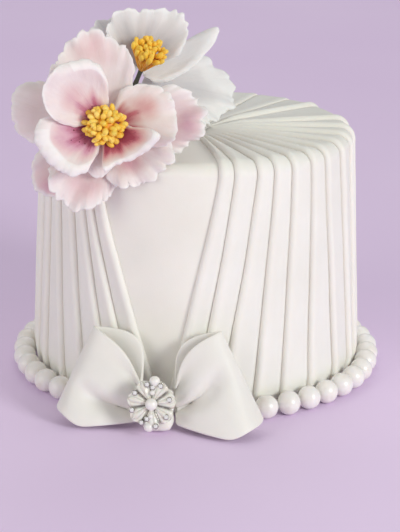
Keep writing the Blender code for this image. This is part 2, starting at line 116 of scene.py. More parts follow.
def sheet_faces(rows, columns):
    """Faces of a thin sheet: front, back and the narrow band that joins them round the rim."""
    wide = columns + 1
    count = (rows + 1) * wide
    faces = []
    for i in range(rows):
        for j in range(columns):
            a = i * wide + j
            faces.append((a, a + 1, a + wide + 1, a + wide))
            faces.append((a + count, a + wide + count, a + wide + 1 + count, a + 1 + count))
    rim = list(range(wide)) + [i * wide + columns for i in range(1, rows + 1)]
    rim += [rows * wide + j for j in range(columns - 1, -1, -1)]
    rim += [i * wide for i in range(rows - 1, 0, -1)]
    for here, after in zip(rim, rim[1:] + rim[:1]):
        faces.append((here, after, after + count, here + count))
    return faces


def gather_bodies(bodies):
    """Several closed bodies as one list of points and one of faces."""
    points, faces = [], []
    for body_points, body_faces in bodies:
        shift = len(points)
        points += body_points
        faces += [tuple(shift + k for k in face) for face in body_faces]
    return points, faces


# %% A piece on the model
def mesh_piece(name, points, faces, material, marks=None):
    """A smooth mesh with its faces turned outwards; marks are values kept at its points."""
    mesh = bpy.data.meshes.new(name)
    mesh.from_pydata([tuple(p) for p in points], [], faces)
    for mark, values in (marks or {}).items():
        layer = mesh.attributes.new(mark, "FLOAT", "POINT")
        layer.data.foreach_set("value", np.asarray(values, dtype=np.float32))
    work = bmesh.new()
    work.from_mesh(mesh)
    bmesh.ops.recalc_face_normals(work, faces=work.faces)
    work.to_mesh(mesh)
    work.free()
    mesh.shade_smooth()
    mesh.materials.append(material)
    piece = bpy.data.objects.new(name, mesh)
    bpy.context.collection.objects.link(piece)
    return piece


def dress(piece, slot, *nodes):
    """The piece rides on the model and stands for the plain solids named."""
    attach(piece, "root")
    if nodes:
        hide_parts(*nodes)
    print(piece.name, len(piece.data.polygons), "faces")
    return piece


# %% Colours, places and chance
def srgb(red, green, blue):
    """A colour given as red, green and blue of 255, as the linear values that a shader takes."""
    parts = [v / 255 for v in (red, green, blue)]
    return (*[v / 12.92 if v < 0.04045 else ((v + 0.055) / 1.055) ** 2.4 for v in parts], 1.0)


def smooth_step(value, low, high):
    way = np.clip((value - low) / (high - low), 0, 1)
    return way * way * (3 - 2 * way)


def waver(*place):
    """Slow, even noise from -1 to 1 at a place; the same each run."""
    return noise.noise(Vector((*place, 0.0, 0.0)[:3]))


def uneven(draw, share):
    """A factor near 1: it strays by half the share at most."""
    return 1 + share * (draw.random() - 0.5)


def around(radius, azimuth, height):
    angle = math.radians(azimuth)
    return Vector((radius * math.sin(angle), -radius * math.cos(angle), height))


def facing_frame(azimuth, height):
    """Right, up and outward directions of something that faces an azimuth at a height."""
    a, h = math.radians(azimuth), math.radians(height)
    outward = Vector((math.sin(a) * math.cos(h), -math.cos(a) * math.cos(h), math.sin(h)))
    right = Vector((math.cos(a), math.sin(a), 0.0))
    return right, outward.cross(right), outward


# %% [markdown]
# ## Finishes
# Rolled sugar paste is never one flat white. Its tone drifts a little, its skin has a fine
# powdery grain, and it dulls where it was dusted with starch. One shader group gives that
# tone and grain, and each paste on the cake uses it with its own scale and strength. The
# short helpers lay a texture on a piece, read a mark kept at its points, and blend colours.


# %% The paste skin group
def new_group(name, inputs, outputs):
    """A shader group whose sockets are all plain values."""
    group = bpy.data.node_groups.new(name, "ShaderNodeTree")
    for label, value in inputs.items():
        socket = group.interface.new_socket(label, in_out="INPUT", socket_type="NodeSocketFloat")
        socket.default_value = value
    for label in outputs:
        group.interface.new_socket(label, in_out="OUTPUT", socket_type="NodeSocketFloat")
    start = group.nodes.new("NodeGroupInput")
    end = group.nodes.new("NodeGroupOutput")
    return group, start, end


def set_values(node, values):
    """Settings of a node; a value whose name has a capital goes to a socket."""
    for label, value in values.items():
        if label[0].isupper():
            node.inputs[label.replace("_", " ")].default_value = value
        else:
            setattr(node, label, value)
    return node


def add_node(tree, kind, **values):
    return set_values(tree.nodes.new(kind), values)


def lay_texture(tree, kind, **values):
    """A texture that lies fixed on its piece."""
    texture = add_node(tree, kind, **values)
    place = add_node(tree, "ShaderNodeTexCoord")
    tree.links.new(place.outputs["Object"], texture.inputs["Vector"])
    return texture


def make_paste_skin():
    """Tone drifts from 0 to 1 over the paste; Grain is the height of its fine powdery skin."""
    values = {"Drift Scale": 18.0, "Grain Scale": 1400.0, "Lump Scale": 60.0, "Lump Share": 0.5}
    group, start, end = new_group("paste_skin", values, ("Tone", "Grain"))
    drift = lay_texture(group, "ShaderNodeTexNoise", Detail=4.0, Roughness=0.55)
    grain = lay_texture(group, "ShaderNodeTexNoise", Detail=2.0, Roughness=0.6)
    lump = lay_texture(group, "ShaderNodeTexNoise", Detail=2.0)
    for texture, scale in ((drift, "Drift Scale"), (grain, "Grain Scale"), (lump, "Lump Scale")):
        group.links.new(start.outputs[scale], texture.inputs["Scale"])
    mix = add_node(group, "ShaderNodeMix", data_type="FLOAT")
    group.links.new(start.outputs["Lump Share"], mix.inputs["Factor"])
    group.links.new(grain.outputs["Fac"], mix.inputs["A"])
    group.links.new(lump.outputs["Fac"], mix.inputs["B"])
    group.links.new(drift.outputs["Fac"], end.inputs["Tone"])
    group.links.new(mix.outputs["Result"], end.inputs["Grain"])
    return group


paste_skin = make_paste_skin()
print("group:", paste_skin.name)


# %% Helpers for materials
def start_material(name, soft=None, **values):
    """A material; soft paste scatters light: its weight, and how far red, green and blue go."""
    material = bpy.data.materials.new(name)
    material.use_nodes = True
    if soft:
        values.update(Subsurface_Weight=soft[0], Subsurface_Radius=soft[1:], Subsurface_Scale=1.0)
    set_values(material.node_tree.nodes["Principled BSDF"], values)
    return material, material.node_tree


def finish_material(material, colour, roughness=None, height=None, depth=0.0, strength=1.0):
    """Feeds the shader: its colour, and where given its roughness and its fine relief."""
    tree = material.node_tree
    shader = tree.nodes["Principled BSDF"]
    tree.links.new(colour, shader.inputs["Base Color"])
    if roughness:
        tree.links.new(roughness, shader.inputs["Roughness"])
    if height:
        relief = add_node(tree, "ShaderNodeBump", Distance=depth, Strength=strength)
        tree.links.new(height, relief.inputs["Height"])
        tree.links.new(relief.outputs["Normal"], shader.inputs["Normal"])
    return material


def use_group(tree, group, **values):
    return add_node(tree, "ShaderNodeGroup", node_tree=group, **values)


def ramp(tree, source, stops):
    """A colour ramp fed by a value."""
    node = add_node(tree, "ShaderNodeValToRGB")
    band = node.color_ramp
    band.elements[0].position, band.elements[0].color = stops[0]
    band.elements[1].position, band.elements[1].color = stops[-1]
    for position, colour in stops[1:-1]:
        band.elements.new(position).color = colour
    tree.links.new(source, node.inputs["Fac"])
    return node.outputs["Color"]


def to_range(tree, source, low, high, new_low, new_high):
    node = add_node(tree, "ShaderNodeMapRange", From_Min=low, From_Max=high,
                    To_Min=new_low, To_Max=new_high)
    tree.links.new(source, node.inputs["Value"])
    return node.outputs["Result"]


def read_mark(tree, name):
    node = add_node(tree, "ShaderNodeAttribute", attribute_name=name)
    return node.outputs["Fac"]


def blend_colours(tree, share, first, second):
    """From the first colour to the second, which may be a plain colour."""
    mix = add_node(tree, "ShaderNodeMix", data_type="RGBA")
    tree.links.new(share, mix.inputs["Factor"])
    tree.links.new(first, mix.inputs["A"])
    if isinstance(second, tuple):
        mix.inputs["B"].default_value = second
    else:
        tree.links.new(second, mix.inputs["B"])
    return mix.outputs["Result"]


# %% Sugar paste materials
# Painted shade: a warmer, darker tone that the pleats take deep in their folds, where shade falls
CREASE_PAINTED_SHADE = srgb(242, 236, 228)


def make_paste(name, light, dark, roughness, drift, grain_depth):
    """Opaque sugar paste: two near tones, a dusty skin, and a warmer, darker painted shade deep in its
    folds.
    """
    material, tree = start_material(name, (0.25, 0.004, 0.0032, 0.0026), Specular_IOR_Level=0.35)
    skin = use_group(tree, paste_skin, Drift_Scale=drift)
    tone = ramp(tree, skin.outputs["Tone"], [(0.3, dark), (0.7, light)])
    # The crease mark holds how much painted shade lies on a point
    colour = blend_colours(tree, read_mark(tree, "crease"), tone, CREASE_PAINTED_SHADE)
    rough = to_range(tree, skin.outputs["Tone"], 0.3, 0.7, roughness + 0.08, roughness - 0.06)
    return finish_material(material, colour, rough, skin.outputs["Grain"], grain_depth)


FONDANT = make_paste("rolled_fondant", srgb(247, 245, 237), srgb(240, 238, 229), 0.5, 24.0, 0.00012)
BOW_PASTE = make_paste("bow_paste", srgb(245, 242, 236), srgb(238, 235, 228), 0.42, 40.0, 0.00008)
print("pastes:", FONDANT.name, BOW_PASTE.name)

# %% [markdown]
# ## The covering
# Under the pleats the cake is covered with one smooth sheet of fondant. It shows as the
# plain panel in front and at the foot. A turned profile gives its shape, and slow noise
# gives it the slight dents of hands and smoother that a machine-made cylinder lacks.

# %% Sizes of the covering
CAKE_TOP = 0.1254
RIM_ROUND = 0.0055
WALL_HEIGHTS = (0.0, 0.006, 0.014, CAKE_TOP - RIM_ROUND)
WALL_RADII = (0.0792, 0.0803, 0.0815, 0.0773)
COVER_RISE = 0.0006
COVER_TURNS = 240
DENT_DEPTH = 0.00035
RIM_CENTRE = WALL_RADII[-1] - RIM_ROUND
RIM_FOOT = CAKE_TOP - RIM_ROUND


def wall_radius(height):
    return float(np.interp(height, WALL_HEIGHTS, WALL_RADII))


# %% The covering
def build_covering():
    profile = [(share * WALL_RADII[0], 0.0) for share in (0.35, 0.7, 0.97)]
    profile += [(wall_radius(h) + COVER_RISE, h) for h in np.linspace(0.0004, RIM_FOOT, 56)]
    rim = RIM_ROUND + COVER_RISE
    for angle in np.radians(np.linspace(85, 0, 14)):
        profile.append((RIM_CENTRE + rim * math.sin(angle), RIM_FOOT + rim * math.cos(angle)))
    profile += [(RIM_CENTRE * share, CAKE_TOP + COVER_RISE) for share in np.linspace(0.95, 0.06, 18)]
    points = []
    for radius, height in profile:
        for k in range(COVER_TURNS):
            azimuth = 360 * k / COVER_TURNS
            point = around(radius, azimuth, height)
            dent = DENT_DEPTH * waver(point.x * 18, point.y * 18, point.z * 14)
            points.append(point + around(dent if height > 0.002 else 0.0, azimuth, 0.0))
    cover = mesh_piece("covering", points, ring_faces(len(profile), COVER_TURNS), FONDANT)
    return dress(cover, "white_fondant", "cake")


build_covering()

# %% [markdown]
# ## The pleats
# Each pleat is a strip of thin paste laid from a gather near the middle of the top, over
# the rim and down to the foot. The edge nearer the front panel is folded over, so it
# stands up as a soft roll. The other edge is pressed down a little and hidden by the next
# roll, which makes a thin groove. The strips slant where the panel narrows and straighten
# near the foot.

# %% Sizes of the pleats
RIGHT_EDGES = ((8, -9), (13.5, 0.5), (22, 9), (28.5, 20.5), (36, 31), (45, 43), (53, 57), (64.5, 69.5),
               (76, 78), (88, 89), (101, 103), (125, 126), (140, 140), (155, 155))
LEFT_EDGES = ((-37.5, -13), (-42.5, -22), (-46, -31), (-51, -42), (-59, -53), (-66, -66), (-74, -77),
              (-83, -87), (-94, -97), (-106, -109), (-119, -121), (-133, -134), (-147, -147), (-161, -161))
BACK_STRIP = (170, 184)
EDGE_CURVE = 1.1
EDGE_STRAIGHT_BELOW = 0.014
GATHER = (0.0015, -0.0050)
GATHER_SPREAD = (-0.0050, -0.0050)
GATHER_RADIUS = 0.0045
GATHER_BEND = 0.45
GATHERED_HEIGHT, GATHERED_TO = 0.35, 0.3
STRIP_FOOT = 0.001
EDGE_SWAY = 0.45
STATIONS = ([("top", way) for way in np.linspace(0, 0.98, 34)]
            + [("rim", angle) for angle in np.linspace(0, 86, 12)]
            + [("wall", height) for height in np.linspace(RIM_FOOT, STRIP_FOOT, 50)])
ROLL_UNEVENNESS = 0.16

# The rolled edge in section, mm: places across it and heights over the cake
ROLL = ((0.45, 0.2), (-0.1, 0.3), (-0.36, 0.7), (-0.34, 1.25), (-0.12, 1.8), (0.26, 2.28), (0.8, 2.68),
        (1.5, 2.92), (2.4, 2.9), (3.4, 2.6), (4.4, 2.22))
STRIP_LEVEL = 0.00135
STRIP_UNDERSIDE = 0.0002
FULL_ROLL_WIDTH = 0.0075
ROLL_FALL = 0.0032
EDGE_SINK = 0.00115
EDGE_RUN = 0.0027
STRIP_STEPS = (0.12, 0.26, 0.42, 0.58, 0.72, 0.82, 0.89, 0.94, 0.975, 1.0)

# How deep in a fold the first points of the roll and the last points of the strip lie, which sets the
# painted shade on them
ROLL_CREASE_SHADE = (1.0, 1.0, 0.9, 0.65, 0.35, 0.12)
EDGE_CREASE_SHADE = (1.0, 1.0, 0.85, 0.5, 0.25, 0.08)

# Behind the gather the rolls were pressed flat on the top, and rise again down the back
FLAT_FROM = (132.0, 138.0)
FLAT_TO = (206.0, 212.0)
FLAT_SHARE = 0.3
FLAT_FADE = (0.008, 0.035)


# %% Lines of the pleats
def edge_azimuth(edge, height):
    """Azimuth of an edge on the side: slanting, then straight near the foot, with a little sway."""
    way = min(max((RIM_FOOT - height) / (RIM_FOOT - EDGE_STRAIGHT_BELOW), 0.0), 1.0)
    sway = EDGE_SWAY * waver(edge[0] * 0.7, height * 22) * min(way * 4, 1.0)
    return edge[0] + (edge[1] - edge[0]) * way ** EDGE_CURVE + sway


def edge_on_top(edge, way):
    """Plan place of an edge on the top, from the gather (0) out to the rim's round (1)."""
    angle = math.radians(edge[0])
    outward = Vector((math.sin(angle), -math.cos(angle)))
    rim = outward * RIM_CENTRE
    middle = Vector(GATHER)
    start = middle + (rim - middle).normalized() * GATHER_RADIUS
    start += Vector(GATHER_SPREAD) * max(outward.dot(Vector((0, -1))), 0.0) ** 3
    bend = rim - outward * (GATHER_BEND * (rim - start).length)
    return start * (1 - way) ** 2 + bend * (2 * way * (1 - way)) + rim * way ** 2


def place_on_cake(near, far, station, share, rise):
    """Point over the cake: share runs from the near edge to the far one, rise is its height."""
    kind, value = station
    if kind == "top":
        spot = edge_on_top(near, value).lerp(edge_on_top(far, value), share)
        return Vector((*spot, CAKE_TOP + rise))
    if kind == "rim":
        azimuth = near[0] + (far[0] - near[0]) * share
        angle, reach = math.radians(value), RIM_ROUND + rise
        return around(RIM_CENTRE + reach * math.sin(angle), azimuth, RIM_FOOT + reach * math.cos(angle))
    low, high = edge_azimuth(near, value), edge_azimuth(far, value)
    return around(wall_radius(value) + rise, low + (high - low) * share, value)


# %% The pleats
def pressed_flat(azimuth, station):
    """Share of a roll's height that is left where the top was pressed flat."""
    kind, value = station
    turn = azimuth % 360
    behind = float(smooth_step(turn, *FLAT_FROM)) * (1 - float(smooth_step(turn, *FLAT_TO)))
    down = 0.0 if kind != "wall" else float(smooth_step(CAKE_TOP - value, *FLAT_FADE))
    return 1 - (1 - FLAT_SHARE) * behind * (1 - down)


def strip_section(width, fullness, two_rolls):
    """Section of a strip: (share of the width, height) pairs, all the way round it."""
    squeeze = min(1.0, width / FULL_ROLL_WIDTH)
    rolled = [(x / 1000 * squeeze, h / 1000) for x, h in ROLL]
    section = []
    for x, h in rolled:
        section.append((x / width, min(h, STRIP_LEVEL) + max(h - STRIP_LEVEL, 0) * fullness))
    first, shoulder = rolled[-1][0], section[-1][1]
    last = width - (first if two_rolls else 0.0)
    for step in STRIP_STEPS:
        across = first + (last - first) * step
        height = STRIP_LEVEL + (shoulder - STRIP_LEVEL) * math.exp(-(across - first) / (ROLL_FALL * squeeze))
        if not two_rolls:
            height -= EDGE_SINK * max(0.0, 1 - (last - across) / (EDGE_RUN * squeeze)) ** 1.6
        section.append((across / width, height))
    if two_rolls:
        section += [(1 - share, height) for share, height in section[:len(ROLL)][::-1]]
    else:
        section.append((1.0, 1.5 * STRIP_UNDERSIDE))
    section.append((0.5, STRIP_UNDERSIDE))
    return section


def crease_shade_depth(count, two_rolls):
    """How deep in a fold each point of the section lies, which sets its painted shade: 1 under the roll, 0
    on the flat.
    """
    depth = [0.0] * count
    depth[:len(ROLL_CREASE_SHADE)] = ROLL_CREASE_SHADE
    if two_rolls:
        depth[-1 - len(ROLL_CREASE_SHADE):-1] = ROLL_CREASE_SHADE[::-1]
    else:
        depth[-len(EDGE_CREASE_SHADE):] = EDGE_CREASE_SHADE[::-1]
    return depth


def build_pleat(name, near, far, two_rolls=False):
    rings, crease_shades = [], []
    for station in STATIONS:
        kind, value = station
        a, b = (place_on_cake(near, far, station, share, 0.0) for share in (0.0, 1.0))
        opened = float(smooth_step(value, 0.0, GATHERED_TO)) if kind == "top" else 1.0
        gathered = GATHERED_HEIGHT + (1 - GATHERED_HEIGHT) * opened
        full = 1.0 + ROLL_UNEVENNESS * waver(near[0] * 1.3, a.z * 30, a.xy.length * 30)
        section = strip_section((b - a).length, full * pressed_flat(near[0], station), two_rolls)
        rings.append([place_on_cake(near, far, station, share, rise * gathered) for share, rise in section])
        crease_shades += crease_shade_depth(len(section), two_rolls)
    points = [p for ring in rings for p in ring]
    # The crease mark carries the painted shade deep in the folds
    pleat = mesh_piece(name.replace("pleat", "folded_strip"), points,
                       ring_faces(len(rings), len(rings[0])), FONDANT, {"crease": crease_shades})
    return dress(pleat, "white_fondant", name)


def build_pleats():
    back_start, back_end = BACK_STRIP
    for side, edges, end in (("right", RIGHT_EDGES, back_start), ("left", LEFT_EDGES, back_end - 360)):
        stops = edges[1:] + ((end, end),)
        for number, (near, far) in enumerate(zip(edges, stops), 1):
            build_pleat(f"pleat_{side}_{number:02d}", near, far)
    build_pleat("pleat_back", (back_start,) * 2, (back_end,) * 2, two_rolls=True)


build_pleats()

# %% [markdown]
# ## The pearl border
# Sugar pearls are rolled by hand and brushed with lustre dust. Each is a ball that is not
# quite round, sits on the floor and nearly touches its neighbours. The lustre gives a soft
# shine with a small highlight, so the shader has a rough base under a clear coat.


# %% The pearl material
def make_pearl():
    material, tree = start_material(
        "lustre_pearl", (0.3, 0.004, 0.0034, 0.003), Roughness=0.3, Coat_Weight=0.5, Coat_Roughness=0.2,
        Specular_IOR_Level=0.5)
    skin = use_group(tree, paste_skin, Drift_Scale=160.0, Grain_Scale=2600.0,
                     Lump_Scale=420.0, Lump_Share=0.65)
    colours = [(0.25, srgb(236, 230, 222)), (0.5, srgb(246, 243, 238)), (0.8, srgb(243, 240, 242))]
    colour = ramp(tree, skin.outputs["Tone"], colours)
    return finish_material(material, colour, height=skin.outputs["Grain"], depth=0.00009)


PEARL = make_pearl()
print("material:", PEARL.name)

# %% The pearls
PEARL_RADIUS = 0.00585
PEARL_RING = 0.0894
PEARL_STEP = 8.0
PEARL_FIRST = 15.0
PEARL_COUNT = 39
PEARL_ARCS = 4

# How far the pearls stray: in degrees along the row, in metres across it, in size and roundness
PEARL_STRAY = (0.25, 0.0004, 0.02, 0.03)


def ball(centre, radius, rings, sides, draw, unevenness):
    """Points and faces of a ball, with its height and widths slightly off."""
    wide, deep, high = (radius * uneven(draw, unevenness) for _ in range(3))
    side, other, up = Vector((wide, 0, 0)), Vector((0, deep, 0)), Vector((0, 0, high))
    points = []
    for i in range(1, rings):
        polar = math.pi * i / rings
        points += ring_points(centre + up * math.cos(polar), side, other, math.sin(polar), sides)
    top, low, last = len(points), len(points) + 1, (rings - 2) * sides
    points += [centre + up, centre - up]
    faces = ring_faces(rings - 1, sides)[:-2]
    for k in range(sides):
        after = (k + 1) % sides
        faces += [(top, after, k), (low, last + k, last + after)]
    return points, faces


def build_pearls():
    draw = random.Random(11)
    turn_stray, place_stray, size_stray, round_stray = PEARL_STRAY
    share = math.ceil(PEARL_COUNT / PEARL_ARCS)
    for arc in range(PEARL_ARCS):
        bodies = []
        for number in range(arc * share, min((arc + 1) * share, PEARL_COUNT)):
            azimuth = PEARL_FIRST + PEARL_STEP * number + turn_stray * (draw.random() - 0.5)
            radius = PEARL_RADIUS * uneven(draw, size_stray)
            place = around(PEARL_RING + place_stray * (draw.random() - 0.5), azimuth, radius)
            bodies.append(ball(place, radius, 20, 32, draw, round_stray))
        row = mesh_piece(f"pearl_row_{arc + 1}", *gather_bodies(bodies), PEARL)
        dress(row, "pearl_lustre", f"pearls_{arc + 1}")


build_pearls()

# %% [markdown]
# ## The bow
# A bow loop is a band of paste folded round soft padding until it sets. It bellies out
# between the fold and the knot, is open above and below, and keeps a broad crease that
# runs out of the knot. Its low edge stays near the floor. The band is thin, so its edges
# show, and they are rounded.

# %% Sizes of the bow
BOW_SHEET = 0.0017
LEFT_LOOP = {
    "pinch": ((-0.0275, -0.0945, 0.0040), (-0.0262, -0.0915, 0.0200)),
    "fold": ((-0.0690, -0.0860, 0.0012), (-0.0490, -0.0765, 0.0440)),
    "front": (0.0150, 0.0080),
    "back": (0.0030, 0.0030),
    "swell": (0.0042, 0.0120),
    "corner": 0.0070,
    "crease": (0.0058, 0.17, 0.26),
}
RIGHT_LOOP = {
    "pinch": ((-0.0085, -0.0975, 0.0040), (-0.0095, -0.0940, 0.0205)),
    "fold": ((0.0350, -0.1020, 0.0012), (0.0118, -0.0895, 0.0465)),
    "front": (0.0210, 0.0060),
    "back": (0.0020, 0.0030),
    "swell": (0.0050, 0.0095),
    "corner": 0.0065,
    "crease": (0.0058, 0.34, 0.36),
}
CREASE_WIDTH = 0.065
CREASE_SPREAD = 0.08
GATHER_DEPTH = 0.0012
LOOP_STEPS = 120
LOOP_STRIPS = 30
RIM_ANGLES = (30, 60)


# %% The bow loops
def loop_point(loop, turn, across):
    """Middle of the band: turn goes once round it from the pinch, across from low to high."""
    low_pinch, high_pinch = (Vector(p) for p in loop["pinch"])
    low_fold, high_fold = (Vector(p) for p in loop["fold"])
    pinch = low_pinch.lerp(high_pinch, across)
    fold = low_fold.lerp(high_fold, across)
    upward = (high_fold - low_fold).normalized()
    forward = (low_fold - low_pinch).cross(upward).normalized()
    if forward.y > 0:
        forward = -forward
    inward = (pinch - fold).normalized().cross(forward).normalized()
    if inward.z < 0:
        inward = -inward
    way = 0.5 - 0.5 * math.cos(2 * math.pi * turn)
    swing = math.sin(2 * math.pi * turn)
    ahead = swing > 0
    low_reach, high_reach = loop["front"] if ahead else loop["back"]
    depth = (low_reach + (high_reach - low_reach) * across) * swing * (0.3 + 0.7 * way)
    crease_depth, crease_start, crease_slope = loop["crease"]
    line = crease_start + crease_slope * way
    crease = math.exp(-((across - line) / (CREASE_WIDTH + CREASE_SPREAD * way)) ** 2)
    crease *= (1 - float(smooth_step(way, 0.45, 0.98))) * min(max(swing, 0) * 3, 1)
    gathers = math.sin(12 * across + 0.8) + 0.5 * math.sin(25 * across + 2.0)
    gathers *= (1 - way) ** 3 * min(max(swing, 0) * 4, 1)
    swell = loop["swell"][0 if ahead else 1] * across ** 2 * math.sin(math.pi * way)
    lifted = loop["corner"] * float(smooth_step(way, 0.55, 1.0)) * (1 - across) ** 3
    level = Vector((forward.x, forward.y, 0.0)).normalized()
    out = level.lerp(forward, across) * (depth - crease_depth * crease + GATHER_DEPTH * gathers)
    return pinch.lerp(fold, way) + out + inward * swell + upward * lifted


def build_loop(name, loop):
    """The band has a front and a back skin, and both its edges are rounded."""
    low_rim = [(0, -angle) for angle in RIM_ANGLES[::-1]]
    high_rim = [(LOOP_STRIPS, angle) for angle in RIM_ANGLES]
    outline = low_rim + [(k, 0) for k in range(LOOP_STRIPS + 1)] + high_rim
    points = []
    for step in range(LOOP_STEPS):
        turn = (step + 0.5) / LOOP_STEPS
        before, middle, later = (
            [loop_point(loop, turn + shift, k / LOOP_STRIPS) for k in range(LOOP_STRIPS + 1)]
            for shift in (-0.01, 0.0, 0.01))
        outer, inner = [], []
        for k, lean in outline:
            rise = (middle[min(k + 1, LOOP_STRIPS)] - middle[max(k - 1, 0)]).normalized()
            normal = (later[k] - before[k]).cross(rise).normalized()
            core = middle[k] + rise * (BOW_SHEET / 2 * math.sin(math.radians(lean)))
            skin = normal * (BOW_SHEET / 2 * math.cos(math.radians(lean)))
            outer.append(core + skin)
            inner.append(core - skin)
        points += outer + inner[::-1]
    faces = ring_faces(LOOP_STEPS, 2 * len(outline), closed=True)
    return dress(mesh_piece(name.replace("bow", "bow_loop"), points, faces, BOW_PASTE), "bow_fondant", name)


build_loop("bow_left", LEFT_LOOP)
build_loop("bow_right", RIGHT_LOOP)

# %% [markdown]
# ## The bow's knot
# A short band is wrapped round the pinched middle. The brooch hides most of it, so what
# shows is its rounded side with a few soft wrinkles that run round the bow.

# %% The knot
BROOCH_CENTRE = (-0.0206, -0.1052, 0.0160)
BROOCH_TILT = 16.0
BROOCH_TURN = -4.0
BROOCH_BACK = 0.0022
KNOT_SIZE = (0.0150, 0.0200, 0.0110)
KNOT_OFFSET = (0.0024, -0.0034)
KNOT_LEVELS, KNOT_SIDES = 40, 64


def build_knot():
    right, up, outward = facing_frame(BROOCH_TURN, BROOCH_TILT)
    wide, high, deep = (size / 2 for size in KNOT_SIZE)
    front = Vector(BROOCH_CENTRE) - outward * BROOCH_BACK
    centre = front + right * KNOT_OFFSET[0] + up * KNOT_OFFSET[1] - outward * deep
    points = []
    for i in range(KNOT_LEVELS):
        level = -1 + 2 * i / (KNOT_LEVELS - 1)
        narrowing = (1 - abs(level) ** 4.5) ** 0.35 * 0.45 + 0.55
        for k in range(KNOT_SIDES):
            angle = 2 * math.pi * k / KNOT_SIDES
            bulge = (abs(math.cos(angle)) ** 3 + abs(math.sin(angle)) ** 3) ** (-1 / 3)
            wrinkle = 1 + 0.03 * math.sin(9 * level + 2 * math.sin(angle)) + 0.02 * waver(level * 3, angle)
            reach = narrowing * bulge * wrinkle
            points.append(centre + right * (wide * reach * math.cos(angle))
                          + outward * (deep * reach * math.sin(angle)) + up * (high * level))
    knot = mesh_piece("bow_band", points, ring_faces(KNOT_LEVELS, KNOT_SIDES), BOW_PASTE)
    return dress(knot, "bow_fondant", "bow_knot")


build_knot()

# %% [markdown]
# ## The brooch
# A costume brooch: a polished silver plate with a scalloped edge carries ribbed shell
# petals round one pearl. Two larger pearls close it above and below, small pearls and
# clear stones in claw settings fill the gaps. Silver, shell, pearl and stone each get a
# finish of their own.


# %% Brooch materials
def make_silver():
    """Polished silver with a faint haze, darker where tarnish is marked."""
    material, tree = start_material("polished_silver", Metallic=1.0, Specular_IOR_Level=0.5)
    haze = lay_texture(tree, "ShaderNodeTexNoise", Scale=900.0, Detail=3.0).outputs["Fac"]
    tone = ramp(tree, haze, [(0.3, srgb(168, 164, 158)), (0.6, srgb(226, 223, 218))])
    colour = blend_colours(tree, read_mark(tree, "tarnish"), tone, srgb(66, 60, 52))
    return finish_material(material, colour, to_range(tree, haze, 0.3, 0.7, 0.12, 0.3), haze, 0.00003)


def make_shell():
    """Mother of pearl: faint pink, green and cream bands under a gloss, grey in its grooves."""
    material, tree = start_material(
        "shell_inlay", (0.2, 0.002, 0.0018, 0.0016), Roughness=0.22, Coat_Weight=0.6, Coat_Roughness=0.06)
    bands = lay_texture(tree, "ShaderNodeTexNoise", Scale=420.0, Detail=3.0, Distortion=1.2).outputs["Fac"]
    tone = ramp(tree, bands, [(0.3, srgb(226, 221, 208)), (0.45, srgb(240, 234, 224)),
                              (0.55, srgb(228, 234, 224)), (0.68, srgb(247, 238, 236))])
    colour = blend_colours(tree, read_mark(tree, "groove"), tone, srgb(166, 158, 146))
    return finish_material(material, colour, height=bands, depth=0.00004)


def make_stone():
    """A clear cut stone with a mirrored back, so it sparkles without letting light through."""
    material, tree = start_material(
        "clear_stone", Roughness=0.06, Coat_Weight=1.0, Coat_Roughness=0.02, Specular_IOR_Level=1.0)
    cuts = lay_texture(tree, "ShaderNodeTexVoronoi", Scale=1500.0).outputs["Distance"]
    tones = [(0.1, srgb(255, 255, 255)), (0.45, srgb(226, 226, 228)), (0.8, srgb(252, 252, 252))]
    return finish_material(material, ramp(tree, cuts, tones), height=cuts, depth=0.0002)


SILVER = make_silver()
SHELL = make_shell()
STONE = make_stone()
print("brooch finishes:", SILVER.name, SHELL.name, STONE.name)


# %% Brooch helpers
CLAWS = 4
CLAW = ((0.0, 0.0003), (0.0012, 0.0003), (0.0015, 0.00015))


def turned_body(start, way, profile, sides, ribs=0, rib_depth=0.0):
    """A closed body turned about a line; its profile is pairs of distance and radius."""
    way = way.normalized()
    side = way.orthogonal().normalized()
    other = way.cross(side)
    points = []
    for distance, radius in profile:
        points += ring_points(start + way * distance, side, other, radius, sides, ribs, rib_depth)
    return points, ring_faces(len(profile), sides)


def claw_setting(centre, outward, radius):
    """A small cup with four claws, and the faceted stone that it holds."""
    cup_profile = ((-0.001, radius * 0.8), (0.0003, radius * 1.1), (0.0006, radius * 1.12),
                   (0.0007, radius * 0.95))
    metal = [turned_body(centre, outward, cup_profile, 16)]
    side = outward.orthogonal().normalized()
    other = outward.cross(side)
    for k in range(CLAWS):
        angle = math.pi / CLAWS * (2 * k + 1)
        way = side * math.cos(angle) + other * math.sin(angle)
        metal.append(turned_body(centre + way * radius * 1.04, outward - way * 0.25, CLAW, 8))
    stone_profile = ((0.0, radius * 0.5), (0.0006, radius * 0.92), (0.0012, radius * 0.58))
    return metal, turned_body(centre + outward * 0.0003, outward, stone_profile, 8)


# %% The brooch
BROOCH_PLATE = 0.0088
PLATE_SCALLOPS = 14
BROOCH_PETALS = 7
SHELL_PLACE = 0.0071
SHELL_LENGTH = 0.0088
SHELL_HALF = 0.0054
BROOCH_PEARL = 0.0030
BROOCH_DROPS = ((0.0012, 0.0108, 0.0027), (-0.0010, -0.0110, 0.0024))
SMALL_PEARLS = ((0.0004, 0.0056), (-0.0002, -0.0058))
SMALL_PEARL = 0.00125
BEAD = 0.0005
BEAD_PLACE = 0.0092
RAY_START = 0.0034
STONES = ((-0.0023, 0.0094), (-0.0080, 0.0052), (-0.0092, -0.0030), (0.0085, 0.0024), (0.0072, -0.0058),
          (0.0024, -0.0104), (-0.0045, -0.0088), (-0.0020, -0.0070), (0.0042, 0.0088), (0.0004, 0.0081))
STONE_RADIUS = 0.00125
SHELL_ROWS, SHELL_COLUMNS = 22, 33
SHELL_DOME = 0.0021
SHELL_RIB = 0.00024
RAY = ((0.0, 0.0002), (0.0012, 0.00032), (0.0062, 0.00026), (0.0068, 0.0001))
PEARL_CUP = ((0.0, 0.0022), (0.0018, 0.0029), (0.0024, 0.0027))
PLATE_TARNISH, CUP_TARNISH = 0.2, 0.5

